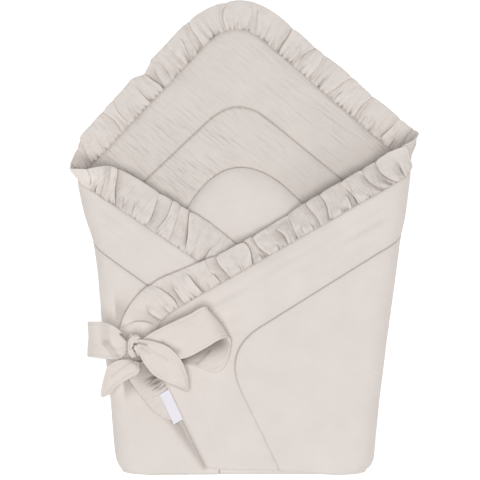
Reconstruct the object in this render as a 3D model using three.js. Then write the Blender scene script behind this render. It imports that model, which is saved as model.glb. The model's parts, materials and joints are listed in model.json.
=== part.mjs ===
// Quilted square baby wrap, folded like an envelope, a gathered frill on two edges, tied with a bow.
// Millimetres. +Y runs to the head corner, +Z up from the floor through the folded layers.

import * as THREE from 'three';

// Padding: thickness of the filled cloth at its sewn edge, between stitch lines and on a stitch line
const EDGE_THICK = 4;
const CROWN_THICK = 11;
const STITCH_THICK = 5;
const FOLD_THICK = 9;

// Heights of the middle of each folded layer above the floor
const FLAP_LEVEL = 17;
const LEFT_LEVEL = 39;
const RIGHT_LEVEL = 51;

// Rounding of the square's corners, as the reach of the curve back from each sharp corner
const CORNER_REACH = 62;
const APEX_REACH = 56;

// Outline of the back panel: head corner, the same corner of its stitch line, and the foot it folds at
const HEAD_CORNER = [-15, 303];
const HEAD_STITCH_CORNER = [-11, 197];
const FOOT_Y = -307;
const WING_FOOT_Y = -312;

// Lines the two sides are turned up along, from the head end to the foot
const RIGHT_CREASE = [
  [197, 124], [196, 91], [188, 30], [181, 0], [175, -47], [171, -78], [162, -142], [152, -224],
  [147, -275], [146, -296], [142, -305], [136, -310], [128, -313],
];
const LEFT_CREASE = [
  [-206, 106], [-204, 74], [-195, 34], [-182, -4], [-176, -47], [-171, -111], [-160, -207],
  [-155, -265], [-153, -292], [-150, -302], [-146, -309], [-139, -313],
];

// Height up each crease at which the edge and the stitch line cross it, on the back and on the wing
const RIGHT_CROSSINGS = { backEdge: 121, backStitch: 33, wingEdge: 70, wingStitch: -19 };
const LEFT_CROSSINGS = { backEdge: 102, backStitch: 25, wingEdge: 62, wingStitch: -28 };

// Free corner of each wing, the same corner of its stitch line, and where both lines meet the foot
const RIGHT_WING = {
  corner: [-142, -122], stitchCorner: [-31, -150], foot: [-52, -307], stitchFoot: [45, -310],
};
const LEFT_WING = {
  corner: [141, -165], stitchCorner: [41, -185], foot: [51, -310], stitchFoot: [-35, -311],
};

// Corner flap folded up from the foot: its sides and the rounded top that shows as a dome
const FLAP_LEFT = [-120, -30];
const FLAP_TOP = [-19, 143];
const FLAP_RIGHT = [141, -15];
const FLAP_TOP_REACH = 120;
const FLAP_STITCH = 0.3;

// Rows of the padding from the edge in: share of the way to the stitch line, then to the foot; thickness
const BORDER_ROWS = [
  [0, EDGE_THICK], [0.14, 8.5], [0.38, CROWN_THICK], [0.66, CROWN_THICK], [0.88, 8.5],
  [1, STITCH_THICK],
];
const FIELD_ROWS = [
  [0.06, 8.5], [0.2, CROWN_THICK], [0.42, CROWN_THICK], [0.7, CROWN_THICK], [0.86, CROWN_THICK],
  [0.93, 10.4], [0.97, 9.6], [1, FOLD_THICK],
];
const FLAP_ROWS = [
  [0.25, CROWN_THICK], [0.5, CROWN_THICK], [1 - FLAP_STITCH - 0.05, 8.5],
  [1 - FLAP_STITCH, STITCH_THICK], [1 - FLAP_STITCH + 0.05, 8.5], [0.85, CROWN_THICK],
  [0.95, 8.5], [1, EDGE_THICK],
];
const WING_COLUMNS = [11, 5, 6];
const BACK_COLUMNS = [9, 6, 9];
const BEND_STEPS = 7;

// Gathered frill: cloth thickness, gap to the sewn edge and waves; then its width along that edge
const FRILL = {
  thick: 2, gap: 0.4, lift: 4.2, shortPitch: 19, pitchSpread: 13, samplesPerWave: 6, rows: [0, 0.45, 1],
};
const FRILL_WIDTHS = [
  [150, 20], [200, 34], [260, 40], [395, 46], [430, 45], [455, 48], [480, 45], [505, 44], [525, 41],
  [550, 34], [582, 19], [612, 27], [650, 34], [700, 36], [750, 37], [765, 30], [782, 36], [895, 35],
  [1110, 36], [1165, 39], [1230, 35], [1310, 35], [1400, 33], [1440, 31], [1496, 31], [1522, 34],
  [1548, 38], [1574, 41], [1626, 44], [1652, 41], [1678, 38], [1704, 34], [1730, 28], [1745, 21],
  [1753, 12], [1757, 3],
];
const FRILL_FLAT_ENDS = [30, 110];

// How far the frill fans away from the cloth where it goes round a side fold, along the edge
const FRILL_FANS = [[540, 0], [582, 0.85], [615, 0.4], [645, 0], [1110, 0], [1165, 0.25], [1230, 0]];

// Tie: ribbon sections of each piece, from the knot out: [x, y] of one edge, [x, y] of the other, height
const RIBBON_THICK = 2;
const LEFT_LOOP = [
  [-158.7, -134, -158.7, -151, 77], [-169, -121, -167, -158, 81], [-187, -112, -184, -159, 82],
  [-203, -111, -203, -157, 79], [-210, -111, -210, -156, 71], [-203, -113, -203, -156, 63],
  [-181, -120, -179, -154, 61], [-158.7, -136, -158.7, -150, 65],
];
const RIGHT_LOOP = [
  [-136.3, -134, -136.3, -150, 77], [-125, -126, -114, -157, 80], [-110, -118, -85, -159, 81],
  [-74, -101, -52, -144, 82], [-53, -91, -33, -133, 80], [-47, -96, -23, -131, 72],
  [-47, -111, -35, -177, 62], [-74, -125, -67, -169, 60], [-107, -128, -103, -161, 61],
  [-136.3, -136, -136.3, -151, 65],
];
const RIGHT_TAIL = [
  [-139, -136, -139, -151, 87], [-124, -136, -132, -167, 89], [-101, -145, -120, -181, 88],
  [-87, -160, -106, -189, 83], [-78, -181, -89, -196, 74], [-75, -200, -77, -203, 64],
];
const LEFT_TAIL = [
  [-154, -161, -142, -165, 73], [-170, -163, -142, -177, 73], [-182, -170, -156, -186, 71],
  [-187, -183, -173, -197, 66], [-191, -197, -180, -206, 60], [-193, -210, -191, -212, 55],
];
const KNOT = { centre: [-147.5, -142, 73], halfSize: [10, 15.5, 12], round: 2.6, sides: 14, rings: 8 };

// Blank sewn label lying on the flat end of the frill: its four corners, height and folded thickness
const LABEL = {
  corners: [[-114, -208], [-102, -201], [-83, -241], [-95, -248]], level: 54, thick: 1.2,
};

const COLOURS = { cotton: 0xe4dbd4, muslin: 0xe2d9d1, satin: 0xf0eef2 };

const flat = ([x, y]) => new THREE.Vector3(x, y, 0);
const mix = (a, b, share) => a + (b - a) * share;

/** The point at height y on a crease given as a list of [x, y] running down it. */
function onCrease(crease, y) {
  const end = crease.length - 1;
  const below = Math.max(1, crease.findIndex((point, i) => i > 0 && (point[1] <= y || i === end)));
  const [x0, y0] = crease[below - 1];
  const [x1, y1] = crease[below];
  return new THREE.Vector3(mix(x0, x1, (y - y0) / (y1 - y0)), y, 0);
}

/** Points along start, rounded corner, end; counts are the steps on leg, curve and leg. */
function roundedLine(start, corner, end, reach, counts) {
  const [legOne, curve, legTwo] = counts;
  const arm = (tip) => {
    const leg = tip.clone().sub(corner);
    return corner.clone().add(leg.setLength(Math.min(reach, 0.6 * leg.length())));
  };
  const into = arm(start);
  const out = arm(end);
  const points = [];
  for (let k = 0; k <= legOne; k += 1) points.push(start.clone().lerp(into, k / legOne));
  for (let k = 1; k <= curve; k += 1) {
    const share = k / curve;
    points.push(into.clone().lerp(corner, share).lerp(corner.clone().lerp(out, share), share));
  }
  for (let k = 1; k <= legTwo; k += 1) points.push(out.clone().lerp(end, k / legTwo));
  return points;
}

/** Where each row runs: its share of the way to the stitch line, then to the foot, and its thickness. */
function rowPlan() {
  const border = BORDER_ROWS.map(([share, thick]) => ({ border: share, field: 0, thick }));
  const field = FIELD_ROWS.map(([share, thick]) => ({ border: 1, field: share, thick }));
  return [...border, ...field];
}

/** A value that starts at the edge, reaches the stitch line's and ends at the foot's. */
function alongRow(row, edge, stitch, foot) {
  return mix(mix(edge, stitch, row.border), foot, row.field);
}

function pointAlongRow(row, edge, stitch, foot) {
  return flat([0, 1].map((axis) => alongRow(row, edge[axis], stitch[axis], foot[axis])));
}

/** One row of a wing, from its foot round its free corner to the crease. */
function wingRow(row, wing, crease, crossings, level) {
  const foot = onCrease(crease, WING_FOOT_Y);
  const atFoot = pointAlongRow(row, wing.foot, wing.stitchFoot, [foot.x, foot.y]);
  const corner = pointAlongRow(row, wing.corner, wing.stitchCorner, [foot.x, foot.y]);
  const height = alongRow(row, crossings.wingEdge, crossings.wingStitch, WING_FOOT_Y);
  const counts = [WING_COLUMNS[2], WING_COLUMNS[1], WING_COLUMNS[0]];
  const points = roundedLine(atFoot, corner, onCrease(crease, height), CORNER_REACH, counts);
  const normal = new THREE.Vector3(0, 0, 1);
  return points.map((point) => ({ at: point.setZ(level), normal, thick: row.thick }));
}

/** The half round of cloth between the back and a wing at one row, from the wing down to the back. */
function bendRow(row, crease, crossings, level, side) {
  const wingY = alongRow(row, crossings.wingEdge, crossings.wingStitch, WING_FOOT_Y);
  const backY = alongRow(row, crossings.backEdge, crossings.backStitch, FOOT_Y);
  const backLevel = row.thick / 2;
  const radius = (level - backLevel) / 2;
  const steps = [];
  for (let k = 1; k < BEND_STEPS; k += 1) {
    const angle = (Math.PI * k) / BEND_STEPS;
    const base = onCrease(crease, mix(wingY, backY, k / BEND_STEPS));
    const normal = new THREE.Vector3(side * Math.sin(angle), 0, Math.cos(angle));
    const at = base.addScaledVector(normal, radius).setZ(backLevel + radius * (1 + normal.z));
    steps.push({ at, normal, thick: row.thick });
  }
  return steps;
}

function backRow(row) {
  const foot = [(onCrease(LEFT_CREASE, FOOT_Y).x + onCrease(RIGHT_CREASE, FOOT_Y).x) / 2, FOOT_Y];
  const corner = pointAlongRow(row, HEAD_CORNER, HEAD_STITCH_CORNER, foot);
  const leftY = alongRow(row, LEFT_CROSSINGS.backEdge, LEFT_CROSSINGS.backStitch, FOOT_Y);
  const rightY = alongRow(row, RIGHT_CROSSINGS.backEdge, RIGHT_CROSSINGS.backStitch, FOOT_Y);
  const ends = [onCrease(LEFT_CREASE, leftY), onCrease(RIGHT_CREASE, rightY)];
  const points = roundedLine(ends[0], corner, ends[1], APEX_REACH, BACK_COLUMNS);
  const normal = new THREE.Vector3(0, 0, -1);
  return points.map((point) => ({ at: point.setZ(row.thick / 2), normal, thick: row.thick }));
}

/** The folded square's rows without the flap: left wing, left bend, back, right bend, right wing. */
function mainRows() {
  return rowPlan().map((row) => [
    ...wingRow(row, LEFT_WING, LEFT_CREASE, LEFT_CROSSINGS, LEFT_LEVEL),
    ...bendRow(row, LEFT_CREASE, LEFT_CROSSINGS, LEFT_LEVEL, -1),
    ...backRow(row),
    ...bendRow(row, RIGHT_CREASE, RIGHT_CROSSINGS, RIGHT_LEVEL, 1).reverse(),
    ...wingRow(row, RIGHT_WING, RIGHT_CREASE, RIGHT_CROSSINGS, RIGHT_LEVEL).reverse(),
  ]);
}

/** The corner flap's rows, from the back's foot round the bottom bend and up to its rounded top. */
function flapRows(foot) {
  const start = foot[0].thick / 2;
  const radius = (FLAP_LEVEL - start) / 2;
  const rows = [foot];
  const half = BEND_STEPS - 1;
  for (let k = 1; k <= half; k += 1) {
    const angle = (Math.PI * k) / half;
    const normal = new THREE.Vector3(0, -Math.sin(angle), -Math.cos(angle));
    rows.push(foot.map(({ at }) => ({
      at: new THREE.Vector3(at.x, at.y + radius * normal.y, start + radius * (1 + normal.z)),
      normal,
      thick: FOLD_THICK,
    })));
  }
  const base = rows[half];
  const [left, tip, right] = [FLAP_LEFT, FLAP_TOP, FLAP_RIGHT].map(flat);
  const top = roundedLine(left, tip, right, FLAP_TOP_REACH, BACK_COLUMNS);
  for (const [share, thick] of FLAP_ROWS) {
    rows.push(base.map(({ at }, j) => ({
      at: at.clone().lerp(top[j], share).setZ(FLAP_LEVEL),
      normal: new THREE.Vector3(0, 0, 1),
      thick,
    })));
  }
  return rows;
}

/** A sheet of cloth as shared middle points and the faces between them, from grids of points. */
function sheetOf(grids) {
  const points = [];
  const index = new Map();
  const faces = [];
  const place = (point) => {
    const key = point.at.toArray().map((value) => value.toFixed(3)).join();
    if (!index.has(key)) index.set(key, points.push(point) - 1);
    return index.get(key);
  };
  const addFace = (corners) => {
    const distinct = corners.filter((corner, k) => corner !== corners[(k + 1) % corners.length]);
    if (distinct.length > 2) faces.push(distinct);
  };
  for (const grid of grids) {
    const ids = grid.map((row) => row.map(place));
    for (let i = 1; i < ids.length; i += 1) {
      for (let j = 1; j < ids[i].length; j += 1) {
        addFace([ids[i - 1][j - 1], ids[i - 1][j], ids[i][j], ids[i][j - 1]]);
      }
    }
  }
  return { points, faces };
}

/** Triangles of a face with three or four corners. */
function trianglesOf(face) {
  return face.length === 3 ? [face] : [[face[0], face[1], face[2]], [face[0], face[2], face[3]]];
}

function faceNormal(points, [a, b, c]) {
  const edge = points[b].at.clone().sub(points[a].at);
  return edge.cross(points[c].at.clone().sub(points[a].at));
}

/** Fills in the normal of every point that has none, from the faces round it. */
function withNormals({ points, faces }) {
  const sums = points.map(() => new THREE.Vector3());
  for (const face of faces) {
    for (const triangle of trianglesOf(face)) {
      const normal = faceNormal(points, triangle);
      for (const corner of triangle) sums[corner].add(normal);
    }
  }
  const filled = points.map((point, k) => ({ ...point, normal: point.normal ?? sums[k].normalize() }));
  return { points: filled, faces };
}

/** The open edges of a sheet as [from, to] pairs in the direction of their faces. */
function openEdges(faces) {
  const seen = new Map();
  for (const face of faces) {
    face.forEach((from, k) => {
      const to = face[(k + 1) % face.length];
      seen.set(`${from},${to}`, [from, to]);
    });
  }
  return [...seen.values()].filter(([from, to]) => !seen.has(`${to},${from}`));
}

/** A closed solid from a sheet: both sides of the cloth and a rim round its open edge. */
function thicken(sheet, rimSteps) {
  const faced = sheet.faces.flatMap(trianglesOf);
  const agreement = faced.reduce((sum, triangle) => {
    const normal = sheet.points[triangle[0]].normal;
    return sum + (normal ? faceNormal(sheet.points, triangle).dot(normal) : 0);
  }, 0);
  const faces = agreement < 0 ? sheet.faces.map((face) => [...face].reverse()) : sheet.faces;
  const { points } = withNormals({ points: sheet.points, faces });
  const count = points.length;
  const positions = [1, -1].flatMap((side) => points.map(({ at, normal, thick }) => (
    at.clone().addScaledVector(normal, (side * thick) / 2)
  )));
  const upper = faces.flatMap(trianglesOf);
  const triangles = upper.flatMap(([a, b, c]) => [[a, b, c], [c + count, b + count, a + count]]);

  const edges = openEdges(faces);
  const after = new Map(edges);
  const before = new Map(edges.map(([from, to]) => [to, from]));
  const rims = new Map();
  for (const [vertex] of edges) {
    const { at, normal, thick } = points[vertex];
    const tangent = points[after.get(vertex)].at.clone().sub(points[before.get(vertex)].at);
    const outward = tangent.cross(normal).normalize();
    const ring = [vertex];
    for (let k = 1; k <= rimSteps; k += 1) {
      const angle = (Math.PI * k) / (rimSteps + 1);
      const point = at.clone().addScaledVector(normal, (Math.cos(angle) * thick) / 2);
      ring.push(positions.push(point.addScaledVector(outward, (Math.sin(angle) * thick) / 2)) - 1);
    }
    rims.set(vertex, [...ring, vertex + count]);
  }
  for (const [from, to] of edges) {
    const near = rims.get(from);
    const far = rims.get(to);
    for (let k = 1; k < near.length; k += 1) {
      triangles.push([near[k - 1], near[k], far[k - 1]], [near[k], far[k], far[k - 1]]);
    }
  }
  const geometry = new THREE.BufferGeometry();
  const values = positions.flatMap((position) => position.toArray());
  geometry.setAttribute('position', new THREE.Float32BufferAttribute(values, 3));
  geometry.setIndex(triangles.flat());
  geometry.computeVertexNormals();
  return geometry;
}

/** Places along the square's sewn edge: point, way out, way up through the cloth, distance along. */
function sewnEdge([edge, inner]) {
  const places = [];
  let along = 0;
  edge.forEach((point, j) => {
    const after = edge[Math.min(j + 1, edge.length - 1)];
    const tangent = after.at.clone().sub(edge[Math.max(j - 1, 0)].at);
    const inward = inner[j].at.clone().sub(point.at);
    const out = tangent.cross(point.normal).normalize();
    if (out.dot(inward) > 0) out.negate();
    if (j > 0) along += point.at.distanceTo(edge[j - 1].at);
    places.push({ at: point.at, out, normal: point.normal, along });
  });
  return places;
}

/** The sewn edge's place at a distance along it. */
function placeAlong(places, distance) {
  const last = places.length - 1;
  const next = Math.max(1, places.findIndex((place, k) => k === last || place.along >= distance));
  const [a, b] = [places[next - 1], places[next]];
  const share = (distance - a.along) / (b.along - a.along);
  const blend = (key) => a[key].clone().lerp(b[key], share);
  return { at: blend('at'), out: blend('out').normalize(), normal: blend('normal').normalize() };
}

/** A repeatable number between 0 and 1 for a whole number. */
function scatter(n) {
  const value = Math.sin(n * 127.1 + 11.7) * 43758.5453;
  return value - Math.floor(value);
}

/** The value at a distance in a list of [distance, value] pairs. */
function readProfile(profile, distance) {
  const last = profile.length - 1;
  const next = Math.max(1, profile.findIndex((pair, k) => k === last || pair[0] >= distance));
  const [[d0, v0], [d1, v1]] = [profile[next - 1], profile[next]];
  return mix(v0, v1, Math.min(1, Math.max(0, (distance - d0) / (d1 - d0))));
}

/** The gathered frill along the part of the sewn edge that its widths cover. */
function frillSheet(places) {
  const from = FRILL_WIDTHS[0][0];
  const to = FRILL_WIDTHS[FRILL_WIDTHS.length - 1][0];
  const grid = [];
  let wave = 0;
  let start = from;
  while (start < to) {
    const pitch = FRILL.shortPitch + FRILL.pitchSpread * scatter(wave);
    for (let k = 0; k < FRILL.samplesPerWave; k += 1) {
      const distance = start + (pitch * k) / FRILL.samplesPerWave;
      if (distance > to) break;
      const place = placeAlong(places, distance);
      const fadeIn = (distance - from) / FRILL_FLAT_ENDS[0];
      const fadeOut = ((to - distance) / FRILL_FLAT_ENDS[1]) ** 2;
      const fade = Math.min(1, fadeIn, fadeOut);
      const lift = FRILL.lift * mix(0.7, 1, scatter(wave + 40)) * fade;
      const swing = Math.sin((2 * Math.PI * k) / FRILL.samplesPerWave) * lift;
      const uneven = mix(1, mix(0.93, 1.07, scatter(wave + 80)), fade);
      const width = readProfile(FRILL_WIDTHS, distance) * uneven;
      place.out.addScaledVector(place.normal, readProfile(FRILL_FANS, distance)).normalize();
      grid.push(FRILL.rows.map((share) => {
        const out = EDGE_THICK / 2 + FRILL.gap + width * share;
        const at = place.at.clone().addScaledVector(place.out, out);
        at.addScaledVector(place.normal, swing * Math.sqrt(share));
        at.z = Math.max(at.z, FRILL.thick);
        return { at, thick: FRILL.thick };
      }));
    }
    start += pitch;
    wave += 1;
  }
  return sheetOf([grid]);
}

/** A length of ribbon through its sections, smoothed along its length and a little hollow across it. */
function ribbonSheet(sections, stepsPerSection, across) {
  const edgeCurve = (axis) => new THREE.CatmullRomCurve3(
    sections.map((section) => new THREE.Vector3(section[axis], section[axis + 1], section[4])),
    false,
    'centripetal',
  );
  const [near, far] = [edgeCurve(0), edgeCurve(2)];
  const steps = (sections.length - 1) * stepsPerSection;
  const grid = [];
  for (let i = 0; i <= steps; i += 1) {
    const row = [];
    for (let j = 0; j <= across; j += 1) {
      const at = near.getPoint(i / steps).lerp(far.getPoint(i / steps), j / across);
      row.push({ at, thick: RIBBON_THICK });
    }
    grid.push(row);
  }
  return sheetOf([grid]);
}

/** The wrapped knot: a rounded block, squarer than an egg. */
function knotGeometry() {
  const geometry = new THREE.SphereGeometry(1, KNOT.sides, KNOT.rings);
  geometry.deleteAttribute('uv');
  geometry.deleteAttribute('normal');
  const place = geometry.attributes.position;
  const power = KNOT.round;
  for (let k = 0; k < place.count; k += 1) {
    const point = new THREE.Vector3().fromBufferAttribute(place, k);
    const sum = point.toArray().reduce((total, value) => total + Math.abs(value) ** power, 0);
    const scaled = point.divideScalar(sum ** (1 / power)).multiply(new THREE.Vector3(...KNOT.halfSize));
    place.setXYZ(k, ...scaled.add(new THREE.Vector3(...KNOT.centre)).toArray());
  }
  return geometry;
}

function labelSheet() {
  const [a, b, c, d] = LABEL.corners.map(([x, y]) => (
    { at: new THREE.Vector3(x, y, LABEL.level), thick: LABEL.thick }
  ));
  return sheetOf([[[a, b], [d, c]]]);
}

function clothMesh(name, geometry, colour, roughness) {
  const material = new THREE.MeshStandardMaterial({ color: colour, roughness, metalness: 0 });
  const mesh = new THREE.Mesh(geometry, material);
  mesh.name = name;
  return mesh;
}

const rows = mainRows();
const backStart = WING_COLUMNS.reduce((sum, n) => sum + n, 0) + BEND_STEPS;
const backCount = BACK_COLUMNS.reduce((sum, n) => sum + n, 0) + 1;
const foot = rows[rows.length - 1].slice(backStart, backStart + backCount);
const pad = sheetOf([rows, flapRows(foot)]);

const group = new THREE.Group();
group.name = 'folded_baby_wrap';
group.add(clothMesh('quilted_pad', thicken(pad, 1), COLOURS.cotton, 0.9));
group.add(clothMesh('frill', thicken(frillSheet(sewnEdge(rows)), 0), COLOURS.muslin, 0.95));
const ties = {
  bow_loop_left: LEFT_LOOP,
  bow_loop_right: RIGHT_LOOP,
  tie_tail_left: LEFT_TAIL,
  tie_tail_right: RIGHT_TAIL,
};
for (const [name, sections] of Object.entries(ties)) {
  group.add(clothMesh(name, thicken(ribbonSheet(sections, 3, 3), 0), COLOURS.muslin, 0.95));
}
group.add(clothMesh('bow_knot', knotGeometry(), COLOURS.muslin, 0.95));
group.add(clothMesh('label', thicken(labelSheet(), 0), COLOURS.satin, 0.5));

const box = new THREE.Box3().setFromObject(group);
const centre = box.getCenter(new THREE.Vector3());
for (const mesh of group.children) mesh.geometry.translate(-centre.x, -centre.y, -box.min.z);

export default group;
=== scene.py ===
"""Looks of the folded swaddle wrap: padded square, gathered frill, ribbon bow and bare label.

Sizes are in millimetres in the fold's own frame, as in the part's source; meshes are made in metres in the
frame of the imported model.
"""

from __future__ import annotations

import json
import logging
import math
from dataclasses import dataclass, field
from enum import Enum
from typing import Sequence

import bpy
import numpy as np
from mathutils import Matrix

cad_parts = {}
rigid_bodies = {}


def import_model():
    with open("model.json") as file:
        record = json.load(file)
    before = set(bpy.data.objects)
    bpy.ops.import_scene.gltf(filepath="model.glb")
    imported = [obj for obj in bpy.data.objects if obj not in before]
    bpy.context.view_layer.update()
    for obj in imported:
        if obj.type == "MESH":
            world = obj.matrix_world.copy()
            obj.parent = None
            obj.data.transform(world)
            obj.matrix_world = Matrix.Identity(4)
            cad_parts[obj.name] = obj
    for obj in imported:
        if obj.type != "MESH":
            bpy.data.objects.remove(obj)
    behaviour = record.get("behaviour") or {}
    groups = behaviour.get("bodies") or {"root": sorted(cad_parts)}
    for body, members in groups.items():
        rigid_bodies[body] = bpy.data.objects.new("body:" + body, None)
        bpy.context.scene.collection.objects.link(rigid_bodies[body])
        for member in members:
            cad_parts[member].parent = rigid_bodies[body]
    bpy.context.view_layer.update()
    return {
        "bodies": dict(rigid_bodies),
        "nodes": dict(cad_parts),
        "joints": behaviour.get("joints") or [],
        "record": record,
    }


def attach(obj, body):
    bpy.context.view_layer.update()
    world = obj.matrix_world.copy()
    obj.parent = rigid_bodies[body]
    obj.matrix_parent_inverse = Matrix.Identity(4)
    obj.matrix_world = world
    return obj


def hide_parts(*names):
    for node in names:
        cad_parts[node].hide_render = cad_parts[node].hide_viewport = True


Array = np.ndarray
LOG = logging.getLogger("swaddle_wrap")

MM = 0.001
FRAME_SHIFT = np.array([3.078, -1.154, 0.0])
UP = np.array([0.0, 0.0, 1.0])


def mix(start: float | Array, end: float | Array, share: float | Array) -> float | Array:
    """The value a share of the way from start to end."""
    return start + (end - start) * share


def smooth_step(low: float, high: float, value: Array) -> Array:
    """A soft step.

    Args:
        low: Value at or below which the step is 0.
        high: Value at or above which it is 1.
        value: Values to read it at.

    Returns:
        The step at each value.
    """
    share = np.clip((np.asarray(value, float) - low) / (high - low), 0.0, 1.0)
    return share * share * (3.0 - 2.0 * share)


def unit(vectors: Array) -> Array:
    """The vectors at length 1."""
    return vectors / np.maximum(np.linalg.norm(vectors, axis=-1, keepdims=True), 1e-12)


def soft_relief(points: Array, wavelength: float, seed: int, terms: int = 14) -> Array:
    """Smooth random relief, about -1 to 1, without a grid in it.

    Args:
        points: Places to read it at, in millimetres.
        wavelength: Usual distance from crest to crest, in millimetres.
        seed: Picks the pattern.
        terms: Number of waves that are summed.

    Returns:
        One height for each point.
    """
    rng = np.random.default_rng(seed)
    heights = np.zeros(points.shape[:-1])
    for _ in range(terms):
        way = unit(rng.normal(size=3))
        length = wavelength * rng.uniform(0.7, 1.6)
        heights += np.sin(points @ way * (2.0 * math.pi / length) + rng.uniform(0.0, 2.0 * math.pi))
    return heights / math.sqrt(terms)


def rounded_line(start: Array, corner: Array, end: Array, reach: float, counts: Sequence[int]) -> Array:
    """Points along start, corner, end with the corner rounded.

    Args:
        start: First point.
        corner: The sharp corner that the line turns at.
        end: Last point.
        reach: How far back from the corner the curve starts and ends.
        counts: Steps on the first leg, the curve and the second leg.

    Returns:
        The points, one more than the steps.
    """
    arms = []
    for tip in (start, end):
        leg = tip - corner
        length = float(np.linalg.norm(leg))
        arms.append(corner + leg * (min(reach, 0.6 * length) / max(length, 1e-9)))
    first = mix(start, arms[0], np.linspace(0, 1, counts[0] + 1)[:, None])
    share = np.linspace(0, 1, counts[1] + 1)[1:, None]
    curve = mix(mix(arms[0], corner, share), mix(corner, arms[1], share), share)
    last = mix(arms[1], end, np.linspace(0, 1, counts[2] + 1)[1:, None])
    return np.vstack([first, curve, last])


def spline(points: Array, steps: int) -> Array:
    """A smooth curve through points, with its samples evenly spread between them.

    Args:
        points: Points to pass through, one a row.
        steps: Number of steps along the whole curve.

    Returns:
        The samples, one more than the steps.
    """
    points = np.asarray(points, float)
    chords = np.maximum(np.linalg.norm(np.diff(points, axis=0), axis=1), 1e-6)
    along = np.concatenate([[0.0], np.cumsum(chords)])
    slopes = np.gradient(points, along, axis=0)
    places = np.linspace(0.0, along[-1], steps + 1)
    index = np.clip(np.searchsorted(along, places, side="right") - 1, 0, len(points) - 2)
    width = (along[index + 1] - along[index])[:, None]
    t = ((places - along[index]) / width[:, 0])[:, None]
    blend_a = (1 + 2 * t) * (1 - t) ** 2
    blend_b = t * (1 - t) ** 2 * width
    blend_c = t * t * (3 - 2 * t)
    blend_d = t * t * (t - 1) * width
    return (
        blend_a * points[index]
        + blend_b * slopes[index]
        + blend_c * points[index + 1]
        + blend_d * slopes[index + 1]
    )


@dataclass
class Sheet:
    """A sheet of cloth as shared middle points and the faces between them.

    Attributes:
        middle: Middle point of the cloth at each place.
        normal: Way up through the cloth there.
        thick: Thickness there.
        flat: Place on the flat cloth, for the weave.
        seam: Distance along and in from the sewn edge.
        shade: Painted shade, 0 to 1, where the cloth lies deep in a seam or crease or under another part;
            below 0 a painted highlight.
        faces: Corners of each face.
    """

    middle: Array
    normal: Array
    thick: Array
    flat: Array
    seam: Array
    shade: Array
    faces: list[tuple[int, ...]]


def grid_faces(ids: Array) -> list[tuple[int, ...]]:
    """Faces of a grid of point numbers, with corners that coincide dropped.

    Args:
        ids: Point numbers, by row and column.

    Returns:
        Corners of each face.
    """
    corners = np.stack([ids[:-1, :-1], ids[:-1, 1:], ids[1:, 1:], ids[1:, :-1]], axis=-1).reshape(-1, 4)
    faces = []
    for face in corners.tolist():
        distinct = [corner for k, corner in enumerate(face) if corner != face[k - 1]]
        if len(distinct) > 2:
            faces.append(tuple(distinct))
    return faces


def grid_normals(points: Array) -> Array:
    """Way up through a grid of points, by its rows and columns.

    Args:
        points: Points, by row and column.

    Returns:
        One unit vector for each point.
    """
    along_rows = np.gradient(points, axis=0)
    along_columns = np.gradient(points, axis=1)
    return unit(np.cross(along_columns, along_rows))


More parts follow.
